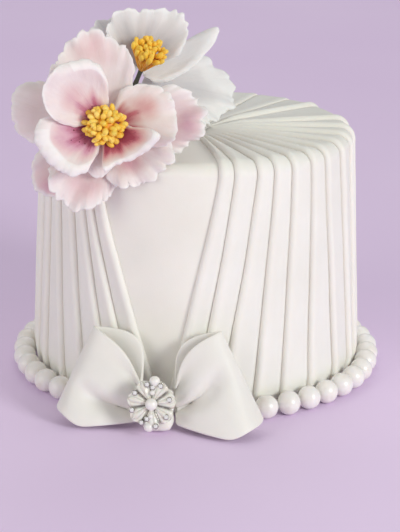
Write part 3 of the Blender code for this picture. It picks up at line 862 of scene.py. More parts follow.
# How far the parts stand out from the plate
SHELL_RISE, RAY_RISE, PEARL_RISE, DROP_RISE, STONE_RISE = 0.0012, 0.0022, 0.0030, 0.0014, 0.0024


def shell_petal(place, way, aside, outward):
    """A ribbed, domed petal: narrow at the middle of the brooch and scalloped at its end."""
    points, grooves = [], []
    for front in (True, False):
        for i in range(SHELL_ROWS + 1):
            along = i / SHELL_ROWS
            rounding = 1 - max(0.0, (along - 0.6) / 0.4) ** 2.6
            half = SHELL_HALF * (0.2 + 0.8 * along) ** 0.95 * max(rounding, 0.02) ** 0.5
            for j in range(SHELL_COLUMNS + 1):
                across = -1 + 2 * j / SHELL_COLUMNS
                ribs = math.cos(3 * math.pi * across)
                dome = SHELL_DOME * (1 - across ** 2) ** 0.7 * math.sin(math.pi * (0.1 + 0.8 * along)) ** 0.7
                height = dome + SHELL_RIB * ribs * min(along * 2, 1) if front else -0.0005
                grooves.append(max(0.6 * max(0.0, -ribs) ** 4 * (1 - along) ** 0.5, 0.5 * abs(across) ** 12))
                points.append(place + way * (SHELL_LENGTH * (along - 0.5) + 0.0004 * ribs * along ** 6)
                              + aside * (half * across) + outward * height)
    return points, grooves


def build_brooch():
    right, up, outward = facing_frame(BROOCH_TURN, BROOCH_TILT)
    centre = Vector(BROOCH_CENTRE)
    draw = random.Random(7)

    def on_brooch(aside, above, ahead):
        return centre + right * aside + up * above + outward * ahead

    profile = ((-BROOCH_BACK, BROOCH_PLATE * 0.96), (-0.0010, BROOCH_PLATE), (0.0, BROOCH_PLATE * 0.98),
               (0.0004, BROOCH_PLATE * 0.9), (0.0008, BROOCH_PLATE * 0.6), (0.0010, 0.002))
    metal = [turned_body(centre, outward, profile, 6 * PLATE_SCALLOPS, PLATE_SCALLOPS, 0.035)]
    shells, grooves, pearls, stones = [], [], [], []
    for k in range(BROOCH_PETALS):
        angle = 2 * math.pi * (k + 0.25) / BROOCH_PETALS
        way = right * math.cos(angle) + up * math.sin(angle)
        place = centre + way * SHELL_PLACE + outward * SHELL_RISE
        points, valleys = shell_petal(place, way, outward.cross(way), outward)
        shells.append((points, sheet_faces(SHELL_ROWS, SHELL_COLUMNS)))
        grooves += valleys
        between = angle + math.pi / BROOCH_PETALS
        ray = right * math.cos(between) + up * math.sin(between)
        foot = centre + outward * RAY_RISE
        metal.append(turned_body(foot + ray * RAY_START, ray - outward * 0.06, RAY, 10))
        metal.append(ball(foot + ray * BEAD_PLACE, BEAD, 8, 12, draw, 0.1))
    pearls.append(ball(on_brooch(0.0, 0.0, PEARL_RISE), BROOCH_PEARL, 16, 24, draw, 0.02))
    metal.append(turned_body(centre, outward, PEARL_CUP, 2 * PLATE_SCALLOPS, PLATE_SCALLOPS, 0.04))
    for aside, above, radius in BROOCH_DROPS:
        pearls.append(ball(on_brooch(aside, above, DROP_RISE), radius, 16, 24, draw, 0.03))
        cup = ((0.0, radius * 0.7), (0.0012, radius * 0.95))
        metal.append(turned_body(on_brooch(aside, above, -0.0012), outward, cup, 20))
    for aside, above in SMALL_PEARLS:
        pearls.append(ball(on_brooch(aside, above, PEARL_RISE), SMALL_PEARL, 12, 18, draw, 0.03))
    tarnish = [PLATE_TARNISH] * sum(len(body[0]) for body in metal)
    for aside, above in STONES:
        setting, stone = claw_setting(on_brooch(aside, above, STONE_RISE), outward, STONE_RADIUS)
        metal += setting
        tarnish += [CUP_TARNISH] * len(setting[0][0]) + [0.0] * sum(len(claw[0]) for claw in setting[1:])
        stones.append(stone)
    silver = mesh_piece("brooch_setting", *gather_bodies(metal), SILVER, {"tarnish": tarnish})
    silver.data.set_sharp_from_angle(angle=math.radians(40))
    dress(silver, "brooch_silver", "brooch")
    dress(mesh_piece("brooch_shells", *gather_bodies(shells), SHELL, {"groove": grooves}), "brooch_silver")
    dress(mesh_piece("brooch_pearls", *gather_bodies(pearls), PEARL), "brooch_silver")
    cut = mesh_piece("brooch_stones", *gather_bodies(stones), STONE)
    cut.data.shade_flat()
    dress(cut, "brooch_silver")


build_brooch()

# %% [markdown]
# ## The petals
# A sugar petal is cut from paste rolled nearly as thin as paper, veined, frilled at its
# rim with a ball tool and dried over a curved former. Here each petal is a sheet bent
# along its midrib and cupped across it. Its outline is given as nine shares of an even
# petal's reach, from one side to the other, since no two cut petals are alike. The rim
# gets uneven scallops, waves and a few nicks, and some rims curl over as a white lip. The
# colour that was dusted on is kept at every point for the shader, together with painted
# shade: a faint tone over each petal's body and the greys of the white flower.

# %% Sizes of the petals
FRONT_FLOWER = {"centre": (-0.0440, -0.0680, 0.1425), "azimuth": 2.0, "height": 17.0}
REAR_FLOWER = {"centre": (-0.0290, -0.0150, 0.1560), "azimuth": 31.0, "height": 55.0}
PETAL_THICKNESS = 0.00055
PETAL_FAN = 60.0
PETAL_AXIS_GAP = 0.003
PETAL_ROWS = 44
PETAL_COLUMNS = 132
FRILL_HEIGHT = 0.0019
SWELL_HEIGHT = 0.0007
BUCKLE_HEIGHT = 0.00035
TIP_DROOP = 0.032
SCALLOP_LENGTH = 8.0
NICKS = 7
# Painted shade and highlight: over its body a petal keeps at least this much dust and shade, which is partly
# painted shade, and its rim is left bare from here, which is partly white paste and partly a painted
# highlight
LEAST_DUST_AND_SHADE = 0.13
RIM_BARE_AND_HIGHLIGHT_FROM = 0.93

# Form: direction, length, slimness, rise at foot and tip, cupping, twist and seat.
# Lip: from which side to which it runs, where it starts, and how far it curls in degrees.
# Dust and shade: depth at the foot, how far it fades, patch depth, patch place (along, across), peach. On
# the white rear petals these values are painted shade.
FRONT_PETALS = {
    "upper_left": dict(
        form=(130, 0.041, 1.0, 22, 62, 0.9, 0, 0.0018), frill=0.25, lip=(-1.3, 0.0, 0.84, 95),
        outline=(0.56, 0.75, 0.95, 0.93, 0.97, 0.99, 1.0, 0.85, 0.5),
        dust_and_shade=(0.74, 0.50, 0.40, 0.52, 0.15, 0.15)),
    "lower_left": dict(
        form=(207, 0.037, 1.1, 22, 45, 0.6, 0, 0.0004), frill=0.35, lip=(-0.5, 0.95, 0.79, 80),
        outline=(0.35, 0.62, 1.0, 0.98, 0.88, 0.87, 0.93, 0.84, 0.65),
        dust_and_shade=(0.92, 0.84, 0.46, 0.62, -0.15, 0.0)),
    "low_small": dict(
        form=(262, 0.025, 2.2, 12, 16, 0.3, 0, -0.0014), frill=0.5,
        outline=(0.6, 0.7, 0.75, 0.82, 0.89, 0.8, 0.7, 0.7, 0.6),
        dust_and_shade=(0.55, 0.8, 0.0, 0.5, 0.0, 0.5)),
    "lower_right": dict(
        form=(316, 0.030, 0.9, 28, 62, 0.6, 0, 0.0014), frill=0.25, lip=(-0.9, 0.75, 0.86, 120),
        outline=(0.6, 1.1, 0.82, 0.77, 0.8, 0.97, 1.2, 0.65, 0.4),
        dust_and_shade=(1.45, 0.90, 0.55, 0.6, -0.3, 0.5)),
    "right": dict(
        form=(17, 0.036, 1.0, 14, 26, 0.4, 0, -0.0018), frill=0.45,
        outline=(0.8, 1.0, 1.06, 0.94, 0.9, 0.89, 0.83, 0.8, 0.6),
        dust_and_shade=(0.88, 0.62, 0.50, 0.60, 0.2, 0.7)),
    "top": dict(
        form=(98, 0.046, 1.0, 8, 27, 0.5, 0, -0.0052), frill=0.8,
        outline=(0.7, 0.7, 0.88, 0.88, 0.97, 0.94, 0.96, 1.05, 1.0),
        dust_and_shade=(0.35, 0.5, 0.35, 0.80, 0.0, 0.2)),
    "far_left": dict(
        form=(170, 0.044, 1.4, 2, 6, 0.3, 0, -0.0078), frill=0.2,
        outline=(1.0, 0.95, 0.94, 1.02, 0.96, 0.93, 0.81, 0.75, 0.8),
        dust_and_shade=(0.1, 0.4, 0.05, 0.92, -0.1, 0.0)),
    "low_left": dict(
        form=(220, 0.043, 2.0, 0, 0, 0.2, 0, -0.0098), frill=0.4,
        outline=(0.8, 0.8, 0.82, 0.88, 0.97, 0.97, 0.92, 0.9, 0.9),
        dust_and_shade=(0.2, 0.5, 0.50, 0.86, 0.2, 0.0)),
    "bottom": dict(
        form=(252, 0.041, 1.5, 6, 14, 0.4, 0, -0.0062), frill=1.0,
        outline=(1.2, 1.15, 1.06, 1.0, 0.96, 0.88, 0.87, 0.85, 0.9),
        dust_and_shade=(0.5, 0.5, 0.46, 0.72, 0.0, 0.1)),
    "low_right": dict(
        form=(320, 0.036, 1.1, 12, 22, 0.4, 0, -0.0050), frill=0.8,
        outline=(1.15, 1.11, 0.96, 0.92, 0.9, 1.01, 0.96, 0.9, 0.8),
        dust_and_shade=(0.8, 0.5, 0.52, 0.60, -0.3, 0.3)),
    "far_right": dict(
        form=(7, 0.046, 1.8, 4, 8, 0.3, 0, -0.0066), frill=1.0,
        outline=(0.95, 0.95, 0.95, 0.98, 1.0, 0.97, 0.9, 0.9, 0.9),
        dust_and_shade=(0.5, 0.5, 0.42, 0.80, -0.1, 0.0)),
}
# On these white petals the dust-and-shade values are painted shade
REAR_PETALS = {
    "back": dict(
        form=(66, 0.034, 0.7, 43, 60, 0.5, 0, 0.0), frill=0.6,
        outline=(1.0, 1.1, 1.15, 1.0, 0.88, 0.9, 1.04, 1.15, 1.2),
        dust_and_shade=(1.3, 1.1, 0.35, 0.75, 0.5, 0.0)),
    "left": dict(
        form=(108, 0.033, 0.9, 22, 34, 0.5, 0, -0.0052), frill=0.6,
        outline=(1.0, 0.95, 0.92, 0.96, 0.97, 1.0, 0.98, 1.0, 1.0),
        dust_and_shade=(0.0, 0.9, 0.0, 0.5, 0.0, 0.0)),
    "right": dict(
        form=(10, 0.044, 2.0, 21, 44, 0.5, 10, -0.0026), frill=0.25,
        outline=(0.5, 0.55, 0.6, 0.79, 1.0, 0.32, 0.3, 0.4, 0.5),
        dust_and_shade=(0.0, 0.6, 0.0, 0.5, 0.0, 0.0)),
    "front": dict(
        form=(348, 0.048, 1.0, -5, -9, 0.3, 0, -0.0080), frill=1.0,
        outline=(1.0, 1.0, 0.98, 0.99, 1.14, 1.22, 1.1, 0.9, 0.8),
        dust_and_shade=(0.8, 0.9, 0.22, 0.6, 0.1, 0.0)),
    "front_left": dict(
        form=(262, 0.030, 1.2, 2, 12, 0.4, 0, -0.0036), frill=0.4,
        outline=(0.8, 0.8, 0.8, 0.8, 0.8, 0.8, 0.8, 0.8, 0.8),
        dust_and_shade=(0.6, 0.9, 0.0, 0.5, 0.0, 0.0)),
}


# %% Lines along the rim
def along_outline(outline, side):
    """Smooth value through the shares of the outline; side runs from -1 to 1."""
    last = len(outline) - 1
    place = (side + 1) / 2 * last
    first = min(int(place), last - 1)
    t = place - first
    before, here, after, beyond = [outline[min(max(first + k, 0), last)] for k in (-1, 0, 1, 2)]
    return 0.5 * (2 * here + (after - before) * t + (2 * before - 5 * here + 4 * after - beyond) * t ** 2
                  + (3 * here - before - 3 * after + beyond) * t ** 3)


def rim_lines(petal, number, sides):
    """Reach of the rim, its torn edge, its broad waves and its fine ones, from side to side."""
    draw = random.Random(number)
    nicks = [(draw.uniform(-0.9, 0.9), draw.uniform(0.02, 0.05), draw.uniform(0.25, 1.0))
             for _ in range(NICKS)]
    frill, lines = petal["frill"], []
    for side in sides:
        arc = math.radians(PETAL_FAN) * side * petal["form"][1] * 1000  # mm along the rim
        reach = along_outline(petal["outline"], side) + 0.02 * waver(arc / 9, number * 5.1)
        lobe = abs(math.sin(math.pi * arc / SCALLOP_LENGTH + 2.4 * waver(arc / 10, number * 6.3) + number))
        depth_here = 0.35 + 1.6 * abs(waver(arc / 13, number * 9.7))
        torn = (0.015 + 0.055 * frill) * depth_here * (lobe - 0.6)
        torn += (0.008 + 0.012 * frill) * waver(arc / 2.4, number * 3.3)
        for place, width, depth in nicks:
            torn -= (0.01 + 0.03 * frill) * depth * max(0.0, 1 - abs(side - place) / width)
        broad = 2.1 * waver(arc / 8.5, number * 2.7)
        fine = 1.1 * waver(arc / 4.2, number * 4.9) + 0.3 * waver(arc / 2.0, number * 7.3)
        lines.append((reach, torn, broad, fine))
    return np.array(lines).T


# %% The sheet of a petal
def petal_sheet(petal, number, flower_axes, u, v, reach_share):
    """Middle of the sheet as an array of points: u from foot to rim, v from side to side."""
    direction, length, slim, rise_foot, rise_tip, cup, twist, seat = petal["form"]
    centre, right, up, outward = (np.array(part) for part in flower_axes)
    fan = np.radians(PETAL_FAN) * v
    reach = u * length * np.cos(fan) ** slim * reach_share
    along, across = reach * np.cos(fan), reach * np.sin(fan)
    start = math.radians(rise_foot)
    turn = math.radians(rise_tip - rise_foot) if rise_tip != rise_foot else 1e-5
    angle = start + turn * along / length
    out = length * (np.sin(angle) - math.sin(start)) / turn
    rise = length * (math.cos(start) - np.cos(angle)) / turn
    bend = 0.5 * length / cup
    slow = np.sin(5.0 * fan + 2.1 * number) + 0.6 * np.sin(9.0 * fan + 1.3 * number)
    buckle = np.sin(across * 230 + 3 * number) * np.sin(along * 190 + number)
    lift = bend * (1 - np.cos(across / bend)) + SWELL_HEIGHT * slow * u ** 3
    lift = lift - TIP_DROOP * np.maximum(u - 0.75, 0) ** 2 + BUCKLE_HEIGHT * buckle * u
    theta = math.radians(direction)
    outer = right * math.cos(theta) + up * math.sin(theta)
    side = up * math.cos(theta) - right * math.sin(theta)
    roll = math.radians(twist) * np.minimum(u * 2, 1) + 0 * v
    normal = outward * np.cos(angle)[..., None] - outer * np.sin(angle)[..., None]
    sideways = side * np.cos(roll)[..., None] + normal * np.sin(roll)[..., None]
    inward = normal * np.cos(roll)[..., None] - side * np.sin(roll)[..., None]
    spread = bend * np.sin(across / bend)
    return (centre + outer * (PETAL_AXIS_GAP + out)[..., None] + outward * (seat + rise)[..., None]
            + sideways * spread[..., None] + inward * lift[..., None])


def sheet_normals(grid):
    normals = np.cross(np.gradient(grid, axis=0), np.gradient(grid, axis=1))
    return normals / (np.linalg.norm(normals, axis=2, keepdims=True) + 1e-12)


def lip_here(v, low, high, soft):
    """1 along the stretch of rim that curls, 0 beside it."""
    return smooth_step(v, low - soft, low + soft) * (1 - smooth_step(v, high - soft, high + soft))


def curl_lip(sheet_at, grid, lip, u, v):
    """Past the lip's start the sheet leaves its own line and curls back on a round."""
    low, high, begin, degrees = lip
    inner, base, rim = (sheet_at(np.full_like(v, row)) for row in (begin - 0.04, begin, 1.0))
    ahead = base - inner
    ahead /= np.linalg.norm(ahead, axis=-1, keepdims=True)
    normal = np.cross(ahead, np.gradient(base, axis=1))
    normal /= np.linalg.norm(normal, axis=-1, keepdims=True)
    run = np.linalg.norm(rim - base, axis=-1, keepdims=True)
    curl = (math.radians(degrees) * lip_here(v, low, high, 0.12))[..., None] + 1e-4
    way = np.clip((u - begin) / (1 - begin), 0, 1)[..., None]
    curled = base + run / curl * (ahead * np.sin(curl * way) - normal * (1 - np.cos(curl * way)))
    return np.where((u > begin)[..., None], curled, grid)


def dust_and_shade_on_petal(petal, number, u, v):
    """Depth of dusted colour and painted shade: deep at the foot, a softer patch further out, none on a lip,
    a least painted shade on the body, and a bare rim that is partly a painted highlight.
    """
    depth, fade, patch, patch_along, patch_across, _ = petal["dust_and_shade"]
    ragged = 0.05 * np.sin(11 * v + 2 * number) + 0.025 * np.sin(23 * v + 5 * number + 4 * u)
    foot = depth * (1 - smooth_step(u + ragged, 0.16, fade + 0.12))
    along, across = (u - patch_along) / 0.24, (v - patch_across + 0.2 * ragged) / 0.42
    spot = patch * np.exp(-along ** 2 - across ** 2)
    dust_and_shade = np.maximum(foot, spot) + 0.25 * np.minimum(foot, spot)
    # Painted shade: a least level over the body, so that the bare rim stands out lighter
    least_dust_and_shade = LEAST_DUST_AND_SHADE
    if "lip" in petal:
        low, high, begin, _ = petal["lip"]
        dust_and_shade = dust_and_shade * (1 - lip_here(v, low, high, 0.15) * smooth_step(u, begin - 0.02, begin + 0.015))
        least_dust_and_shade = LEAST_DUST_AND_SHADE * (dust_and_shade > 0.0)
    # The clean rim is bare paste and partly a painted highlight
    return np.maximum(dust_and_shade, least_dust_and_shade) * (1 - smooth_step(u, RIM_BARE_AND_HIGHLIGHT_FROM, 1.0))


# %% Building a petal
def build_petal(name, number, petal, flower, material, slot):
    flower_axes = (Vector(flower["centre"]), *facing_frame(flower["azimuth"], flower["height"]))
    us = 0.02 + 0.98 * (np.arange(PETAL_ROWS + 1) / PETAL_ROWS) ** 0.85
    vs = np.linspace(-1, 1, PETAL_COLUMNS + 1)
    reach, torn, broad, fine = rim_lines(petal, number, vs)
    u, v = np.meshgrid(us, vs, indexing="ij")
    share = reach + torn * u ** 10

    def sheet_at(rows):
        return petal_sheet(petal, number, flower_axes, rows, v, share)

    grid = sheet_at(u)
    if "lip" in petal:
        grid = curl_lip(sheet_at, grid, petal["lip"], u, v)
    wave = broad * smooth_step(u, 0.5, 1.0) + fine * smooth_step(u, 0.80, 1.0) ** 1.3
    grid = grid + sheet_normals(grid) * (FRILL_HEIGHT * petal["frill"] * wave)[..., None]
    edge = np.minimum((1 - u) / 0.10, (1 - np.abs(v)) / 0.06)
    skin = sheet_normals(grid) * (PETAL_THICKNESS / 2 * (0.35 + 0.65 * np.clip(edge, 0, 1)))[..., None]
    points = np.concatenate([(grid + skin).reshape(-1, 3), (grid - skin).reshape(-1, 3)])
    marks = {"foot_to_rim": u, "side_to_side": v, "dust_and_shade": dust_and_shade_on_petal(petal, number, u, v),
             "peach": np.full_like(u, petal["dust_and_shade"][-1]), "petal_number": np.full_like(u, number)}
    marks = {mark: np.tile(values.reshape(-1), 2) for mark, values in marks.items()}
    faces = sheet_faces(PETAL_ROWS, PETAL_COLUMNS)
    piece = mesh_piece(name.replace("petal", "sugar_petal"), points, faces, material, marks)
    return dress(piece, slot, name)


print("petals:", len(FRONT_PETALS) + len(REAR_PETALS))

# %% [markdown]
# ## The finish of the petals
# Petal dust is brushed on dry from the foot outwards: deep rose at the foot, then pink,
# then nothing at the rim, where the white paste shows. The brush leaves streaks, the dust
# gathers in the pressed veins, and near the foot the dark dust was flicked on as specks.
# Some petals lean to mauve and some to peach. A group turns the values kept at the points
# into those streaks, for both flowers. On the white flower the same values give greys, which
# are painted shade; a faint tone over every petal's body is painted shade as well, and the
# bare rim is partly a painted highlight.


# %% The petal group
def math_node(tree, operation, first, second=0.0):
    node = add_node(tree, "ShaderNodeMath", operation=operation)
    for socket, value in zip(node.inputs, (first, second)):
        if isinstance(value, (int, float)):
            socket.default_value = value
        else:
            tree.links.new(value, socket)
    return node.outputs["Value"]


def times(tree, first, second):
    return math_node(tree, "MULTIPLY", first, second)


def plus(tree, first, second):
    return math_node(tree, "ADD", first, second)


def make_petal_veins():
    """Dust And Shade is how much dusted colour and painted shade lies on the sheet, Vein the height of its
    pressed veins.
    """
    values = {"Streaks": 9.0, "Patchiness": 0.6}
    group, start, end = new_group("petal_veins", values, ("Dust And Shade", "Vein", "Drift"))
    place = add_node(group, "ShaderNodeCombineXYZ")
    stretches = (("side_to_side", start.outputs["Streaks"]), ("foot_to_rim", 1.3), ("petal_number", 3.7))
    for (mark, stretch), socket in zip(stretches, place.inputs):
        group.links.new(times(group, read_mark(group, mark), stretch), socket)
    veins = add_node(group, "ShaderNodeTexNoise", Scale=1.6, Detail=4.0, Roughness=0.6)
    group.links.new(place.outputs["Vector"], veins.inputs["Vector"])
    patches = lay_texture(group, "ShaderNodeTexNoise", Scale=60.0, Detail=4.0, Roughness=0.6, Distortion=0.4)
    streak = times(group, plus(group, veins.outputs["Fac"], -0.5), 0.3)
    patch = times(group, plus(group, patches.outputs["Fac"], -0.5), start.outputs["Patchiness"])
    change = plus(group, plus(group, streak, patch), 1.0)
    dust_and_shade = plus(group, times(group, read_mark(group, "dust_and_shade"), change), times(group, patch, 0.3))
    group.links.new(dust_and_shade, end.inputs["Dust And Shade"])
    group.links.new(veins.outputs["Fac"], end.inputs["Vein"])
    group.links.new(patches.outputs["Fac"], end.inputs["Drift"])
    return group


petal_veins = make_petal_veins()
print("group:", petal_veins.name)


# %% Petal materials
def start_petal(name):
    material, tree = start_material(
        name, (0.3, 0.0018, 0.0013, 0.0011), Specular_IOR_Level=0.35, Sheen_Weight=0.1,
        Sheen_Roughness=0.4)
    return material, tree, use_group(tree, petal_veins).outputs


def finish_petal(material, colour, vein):
    rough = to_range(material.node_tree, vein, 0.3, 0.7, 0.48, 0.66)
    return finish_material(material, colour, rough, vein, 0.0005, 0.7)


def make_pink_petal():
    """Dusted from mauve to peach; dark specks and a few dark lines near the foot."""
    material, tree, veins = start_petal("dusted_petal_paste")
    mauve = ramp(tree, veins["Dust And Shade"], [
        (0.0, srgb(248, 242, 238)), (0.18, srgb(238, 224, 223)), (0.38, srgb(229, 201, 204)),
        (0.58, srgb(213, 168, 186)), (0.78, srgb(192, 122, 150)), (1.0, srgb(162, 82, 112))])
    peach = ramp(tree, veins["Dust And Shade"], [
        (0.0, srgb(248, 242, 236)), (0.18, srgb(238, 223, 216)), (0.38, srgb(230, 199, 188)),
        (0.58, srgb(220, 166, 154)), (0.78, srgb(202, 112, 112)), (1.0, srgb(166, 62, 78))])
    colour = blend_colours(tree, read_mark(tree, "peach"), mauve, peach)
    dots = lay_texture(tree, "ShaderNodeTexVoronoi", Scale=420.0, Randomness=1.0)
    near = to_range(tree, dots.outputs["Distance"], 0.22, 0.14, 0.0, 1.0)
    where = to_range(tree, veins["Dust And Shade"], 0.62, 0.8, 0.0, 1.0)
    few = to_range(tree, veins["Drift"], 0.5, 0.56, 0.0, 1.0)
    colour = blend_colours(tree, times(tree, times(tree, near, where), few), colour, srgb(86, 28, 46))
    off_line = math_node(tree, "ABSOLUTE", plus(tree, veins["Vein"], -0.53))
    line = times(tree, to_range(tree, off_line, 0.004, 0.014, 0.55, 0.0), where)
    return finish_petal(material, blend_colours(tree, line, colour, srgb(120, 40, 78)), veins["Vein"])


def make_white_petal():
    material, tree, veins = start_petal("white_petal_paste")
    # Painted shade: the rear petals are white paste, so the greys that the dust-and-shade values give here
    # stand for shade
    tones = [(0.0, srgb(250, 248, 246)), (0.3, srgb(228, 225, 224)), (1.0, srgb(186, 184, 188))]
    return finish_petal(material, ramp(tree, veins["Dust And Shade"], tones), veins["Vein"])


PINK_PETAL = make_pink_petal()
WHITE_PETAL = make_white_petal()
print("petal finishes:", PINK_PETAL.name, WHITE_PETAL.name)


# %% The two flowers
def build_flower(side, petals, first_number, flower, material, slot):
    for number, (name, petal) in enumerate(petals.items(), first_number):
        build_petal(f"{side}_petal_{name}", number, petal, flower, material, slot)


build_flower("front", FRONT_PETALS, 1, FRONT_FLOWER, PINK_PETAL, "petal_blush")
build_flower("rear", REAR_PETALS, len(FRONT_PETALS) + 1, REAR_FLOWER, WHITE_PETAL, "petal_white")

# %% [markdown]
# ## The stamens
# Each stamen is a short filament dipped in golden paste, so it ends in a rounded head like
# a grain of rice. The front flower's stand in a dense dome; the rear flower's rise from a
# narrow base like a shaving brush. Below them a stalk wound in dark green tape goes down
# into the cake.

# %% Sizes of the stamens
FRONT_STAMENS = dict(
    count=64, spread=76.0, start=0.0030, reach=0.0113, thick=0.00142, head=0.0044, thread=0.00045,
    lift=0.0035, foot=-0.0140, stalk=(-0.0440, -0.0290, 0.1285), tone_and_shade=1.0, lean=1.1,
    core=((-0.0010, 0.0020), (0.0015, 0.0040), (0.0040, 0.0052), (0.0062, 0.0040), (0.0072, 0.0012)))
REAR_STAMENS = dict(
    count=46, spread=28.0, start=0.0030, reach=0.0194, thick=0.00134, head=0.0046, thread=0.00060,
    lift=0.0010, foot=-0.0090, stalk=(-0.0385, -0.0020, 0.1285), tone_and_shade=0.35, lean=0.7,
    core=((0.0020, 0.0014), (0.0055, 0.0026), (0.0085, 0.0044), (0.0120, 0.0054), (0.0135, 0.0030)))
GOLDEN_ANGLE = 137.508
STALK_RADIUS = 0.0010
CUP_RADIUS, CUP_WAIST = 0.0014, 0.0003
STALK_STEPS, CUP_STEPS = 24, 12
STAMEN_SIDES = 12
HEAD_ANGLES = (20, 45, 70, 95, 120, 145, 165)


# %% Stamen materials
def make_stamen():
    """Golden paste: every stamen has its own tone, heads lighter than the threads."""
    material, tree = start_material(
        "golden_stamen_paste", (0.25, 0.0014, 0.0008, 0.0003), Specular_IOR_Level=0.45)
    skin = use_group(tree, paste_skin, Drift_Scale=500.0, Grain_Scale=5200.0, Lump_Scale=1100.0)
    own = plus(tree, times(tree, read_mark(tree, "tone"), 0.5), times(tree, read_mark(tree, "head"), 0.35))
    value = plus(tree, own, times(tree, skin.outputs["Tone"], 0.2))
    colours = [(0.0, srgb(190, 108, 12)), (0.25, srgb(242, 164, 34)), (0.42, srgb(255, 202, 66)),
               (0.7, srgb(255, 214, 92)), (1.0, srgb(255, 224, 126))]
    rough = to_range(tree, skin.outputs["Tone"], 0.3, 0.7, 0.55, 0.4)
    return finish_material(material, ramp(tree, value, colours), rough, skin.outputs["Grain"], 0.00012)


def make_tape():
    """Dark green tape wound round the stalk: its turns show as fine slanting ridges."""
    material, tree = start_material("dark_tape", Roughness=0.7)
    turns = lay_texture(tree, "ShaderNodeTexWave", Scale=420.0, Distortion=3.0, Detail=2.0,
                        bands_direction="Z").outputs["Fac"]
    tones = [(0.2, srgb(58, 60, 50)), (0.7, srgb(80, 82, 70))]
    return finish_material(material, ramp(tree, turns, tones), height=turns, depth=0.0001)


STAMEN = make_stamen()
TAPE = make_tape()
print("stamen finishes:", STAMEN.name, TAPE.name)


# %% The stamens
def stamen_body(base, way, stamens, reach, thick, lean):
    """One stamen: a thin thread, and a rounded head that leans its own way."""
    head, thread, start = stamens["head"] * thick / stamens["thick"], stamens["thread"], stamens["start"]
    side = way.orthogonal().normalized()
    other = way.cross(side)
    heading = (way + side * lean[0] + other * lean[1]).normalized()
    neck = base + way * (reach - head)
    middle = base + way * (start + reach - head) * 0.5
    stops = [(base + way * start, thread, 0.0), (middle, thread * 0.9, 0.0), (neck, thread, 0.0)]
    for step, angle in enumerate(np.radians(HEAD_ANGLES)):
        centre = neck + heading * (head / 2 * (1 - math.cos(angle)))
        stops.append((centre, thick * math.sin(angle) ** 0.8, min(1.0, 0.5 + 0.12 * step)))
    points, heads = [], []
    for centre, radius, is_head in stops:
        points += ring_points(centre, side, other, radius, STAMEN_SIDES)
        heads += [is_head] * STAMEN_SIDES
    return points, ring_faces(len(stops), STAMEN_SIDES), heads


def build_cluster(name, flower_axes, base, stamens, draw):
    """Stamens round a core, spaced by the golden angle, each with its own tone and lean."""
    right, up, outward = flower_axes
    bodies = [turned_body(base, outward, stamens["core"], 24)]
    tones = [0.25] * len(bodies[0][0])
    heads = [0.1] * len(tones)
    for k in range(stamens["count"]):
        tilt = math.radians(stamens["spread"]) * math.sqrt((k + 0.5) / stamens["count"])
        tilt += math.radians(4) * (draw.random() - 0.5)
        turn = math.radians(GOLDEN_ANGLE) * k + 0.25 * (draw.random() - 0.5)
        way = outward * math.cos(tilt) + (right * math.cos(turn) + up * math.sin(turn)) * math.sin(tilt)
        reach = stamens["reach"] * uneven(draw, 0.12)
        thick = stamens["thick"] * uneven(draw, 0.22)
        lean = [stamens["lean"] * (draw.random() - 0.5) for _ in range(2)]
        points, faces, is_head = stamen_body(base, way, stamens, reach, thick, lean)
        bodies.append((points, faces))
        # Tones held low for the rear cluster: partly a deeper orange of its own, partly painted shade
        tones += [draw.random() * stamens["tone_and_shade"]] * len(points)
        heads += is_head
    cluster = mesh_piece(name.replace("stamens", "stamen_cluster"), *gather_bodies(bodies), STAMEN,
                         {"tone": tones, "head": heads})
    dress(cluster, "stamen_yellow", name)


def build_stamens(name, flower, stamens, seed):
    flower_axes = facing_frame(flower["azimuth"], flower["height"])
    outward = flower_axes[-1]
    base = Vector(flower["centre"]) + outward * stamens["lift"]
    build_cluster(name, flower_axes, base, stamens, random.Random(seed))
    foot = stamens["foot"]
    start = base + outward * (foot + 0.0015)
    run = Vector(stamens["stalk"]) - start
    stops = [(run.length * k / STALK_STEPS, STALK_RADIUS * (1 + 0.05 * waver(k * 0.9, seed)))
             for k in range(STALK_STEPS + 1)]
    height = stamens["core"][0][0] + 0.0008 - foot
    cup = [(foot + height * k / CUP_STEPS, CUP_RADIUS - CUP_WAIST * math.sin(math.pi * k / CUP_STEPS))
           for k in range(CUP_STEPS + 1)]
    bodies = [turned_body(start, run, stops, 16), turned_body(base, outward, cup, 18)]
    dress(mesh_piece(name.replace("stamens", "stalk"), *gather_bodies(bodies), TAPE), "stamen_yellow")


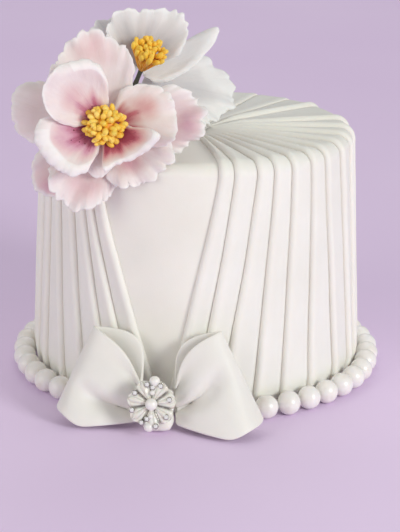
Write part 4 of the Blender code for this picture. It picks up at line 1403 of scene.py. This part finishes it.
build_stamens("front_stamens", FRONT_FLOWER, FRONT_STAMENS, 3)
build_stamens("rear_stamens", REAR_FLOWER, REAR_STAMENS, 4)

# %% [markdown]
# ## Floor and light
# The cake stands on a plain pale floor under soft studio light. A large light from the
# right and in front models the folds, a weaker one from the left keeps the shade open, a
# third brightens the floor behind, and a pale surround fills the rest.

# %% Floor
FLOOR_SIZE = 6.0


def make_floor():
    material, tree = start_material("pale_floor", Roughness=0.75)
    cloud = lay_texture(tree, "ShaderNodeTexNoise", Scale=3.0, Detail=2.0).outputs["Fac"]
    finish_material(material, ramp(tree, cloud, [(0.3, srgb(238, 215, 249)), (0.7, srgb(242, 221, 252))]))
    half = FLOOR_SIZE / 2
    corners = [(-half, -half, 0), (half, -half, 0), (half, half, 0), (-half, half, 0)]
    mesh = bpy.data.meshes.new("floor")
    mesh.from_pydata(corners, [], [(0, 1, 2, 3)])
    mesh.materials.append(material)
    floor = bpy.data.objects.new("floor", mesh)
    bpy.context.collection.objects.link(floor)


make_floor()


# %% Lights
MIDDLE_OF_CAKE = (0, 0, 0.07)


def add_light(name, place, size, power, colour, target=MIDDLE_OF_CAKE):
    light = bpy.data.lights.new(name, "AREA")
    light.shape = "DISK"
    light.size = size
    light.energy = power
    light.color = colour
    lamp = bpy.data.objects.new(name, light)
    lamp.location = place
    lamp.rotation_mode = "QUATERNION"
    lamp.rotation_quaternion = (Vector(target) - Vector(place)).to_track_quat("-Z", "Y")
    bpy.context.collection.objects.link(lamp)


add_light("key_light", (1.35, -1.25, 0.7), 0.7, 19.3, (0.975, 1.0, 0.945))
add_light("fill_light", (-1.35, -1.0, 0.6), 1.4, 8.3, (1.0, 1.0, 0.905))
add_light("far_light", (0.0, 1.3, 1.5), 1.2, 5.3, (1.0, 0.965, 1.0), (0.0, 0.5, 0.0))

world = bpy.data.worlds.new("surround")
world.use_nodes = True
set_values(world.node_tree.nodes["Background"], dict(Color=srgb(226, 226, 227), Strength=0.50))
bpy.context.scene.world = world
bpy.context.scene.view_settings.view_transform = "Standard"
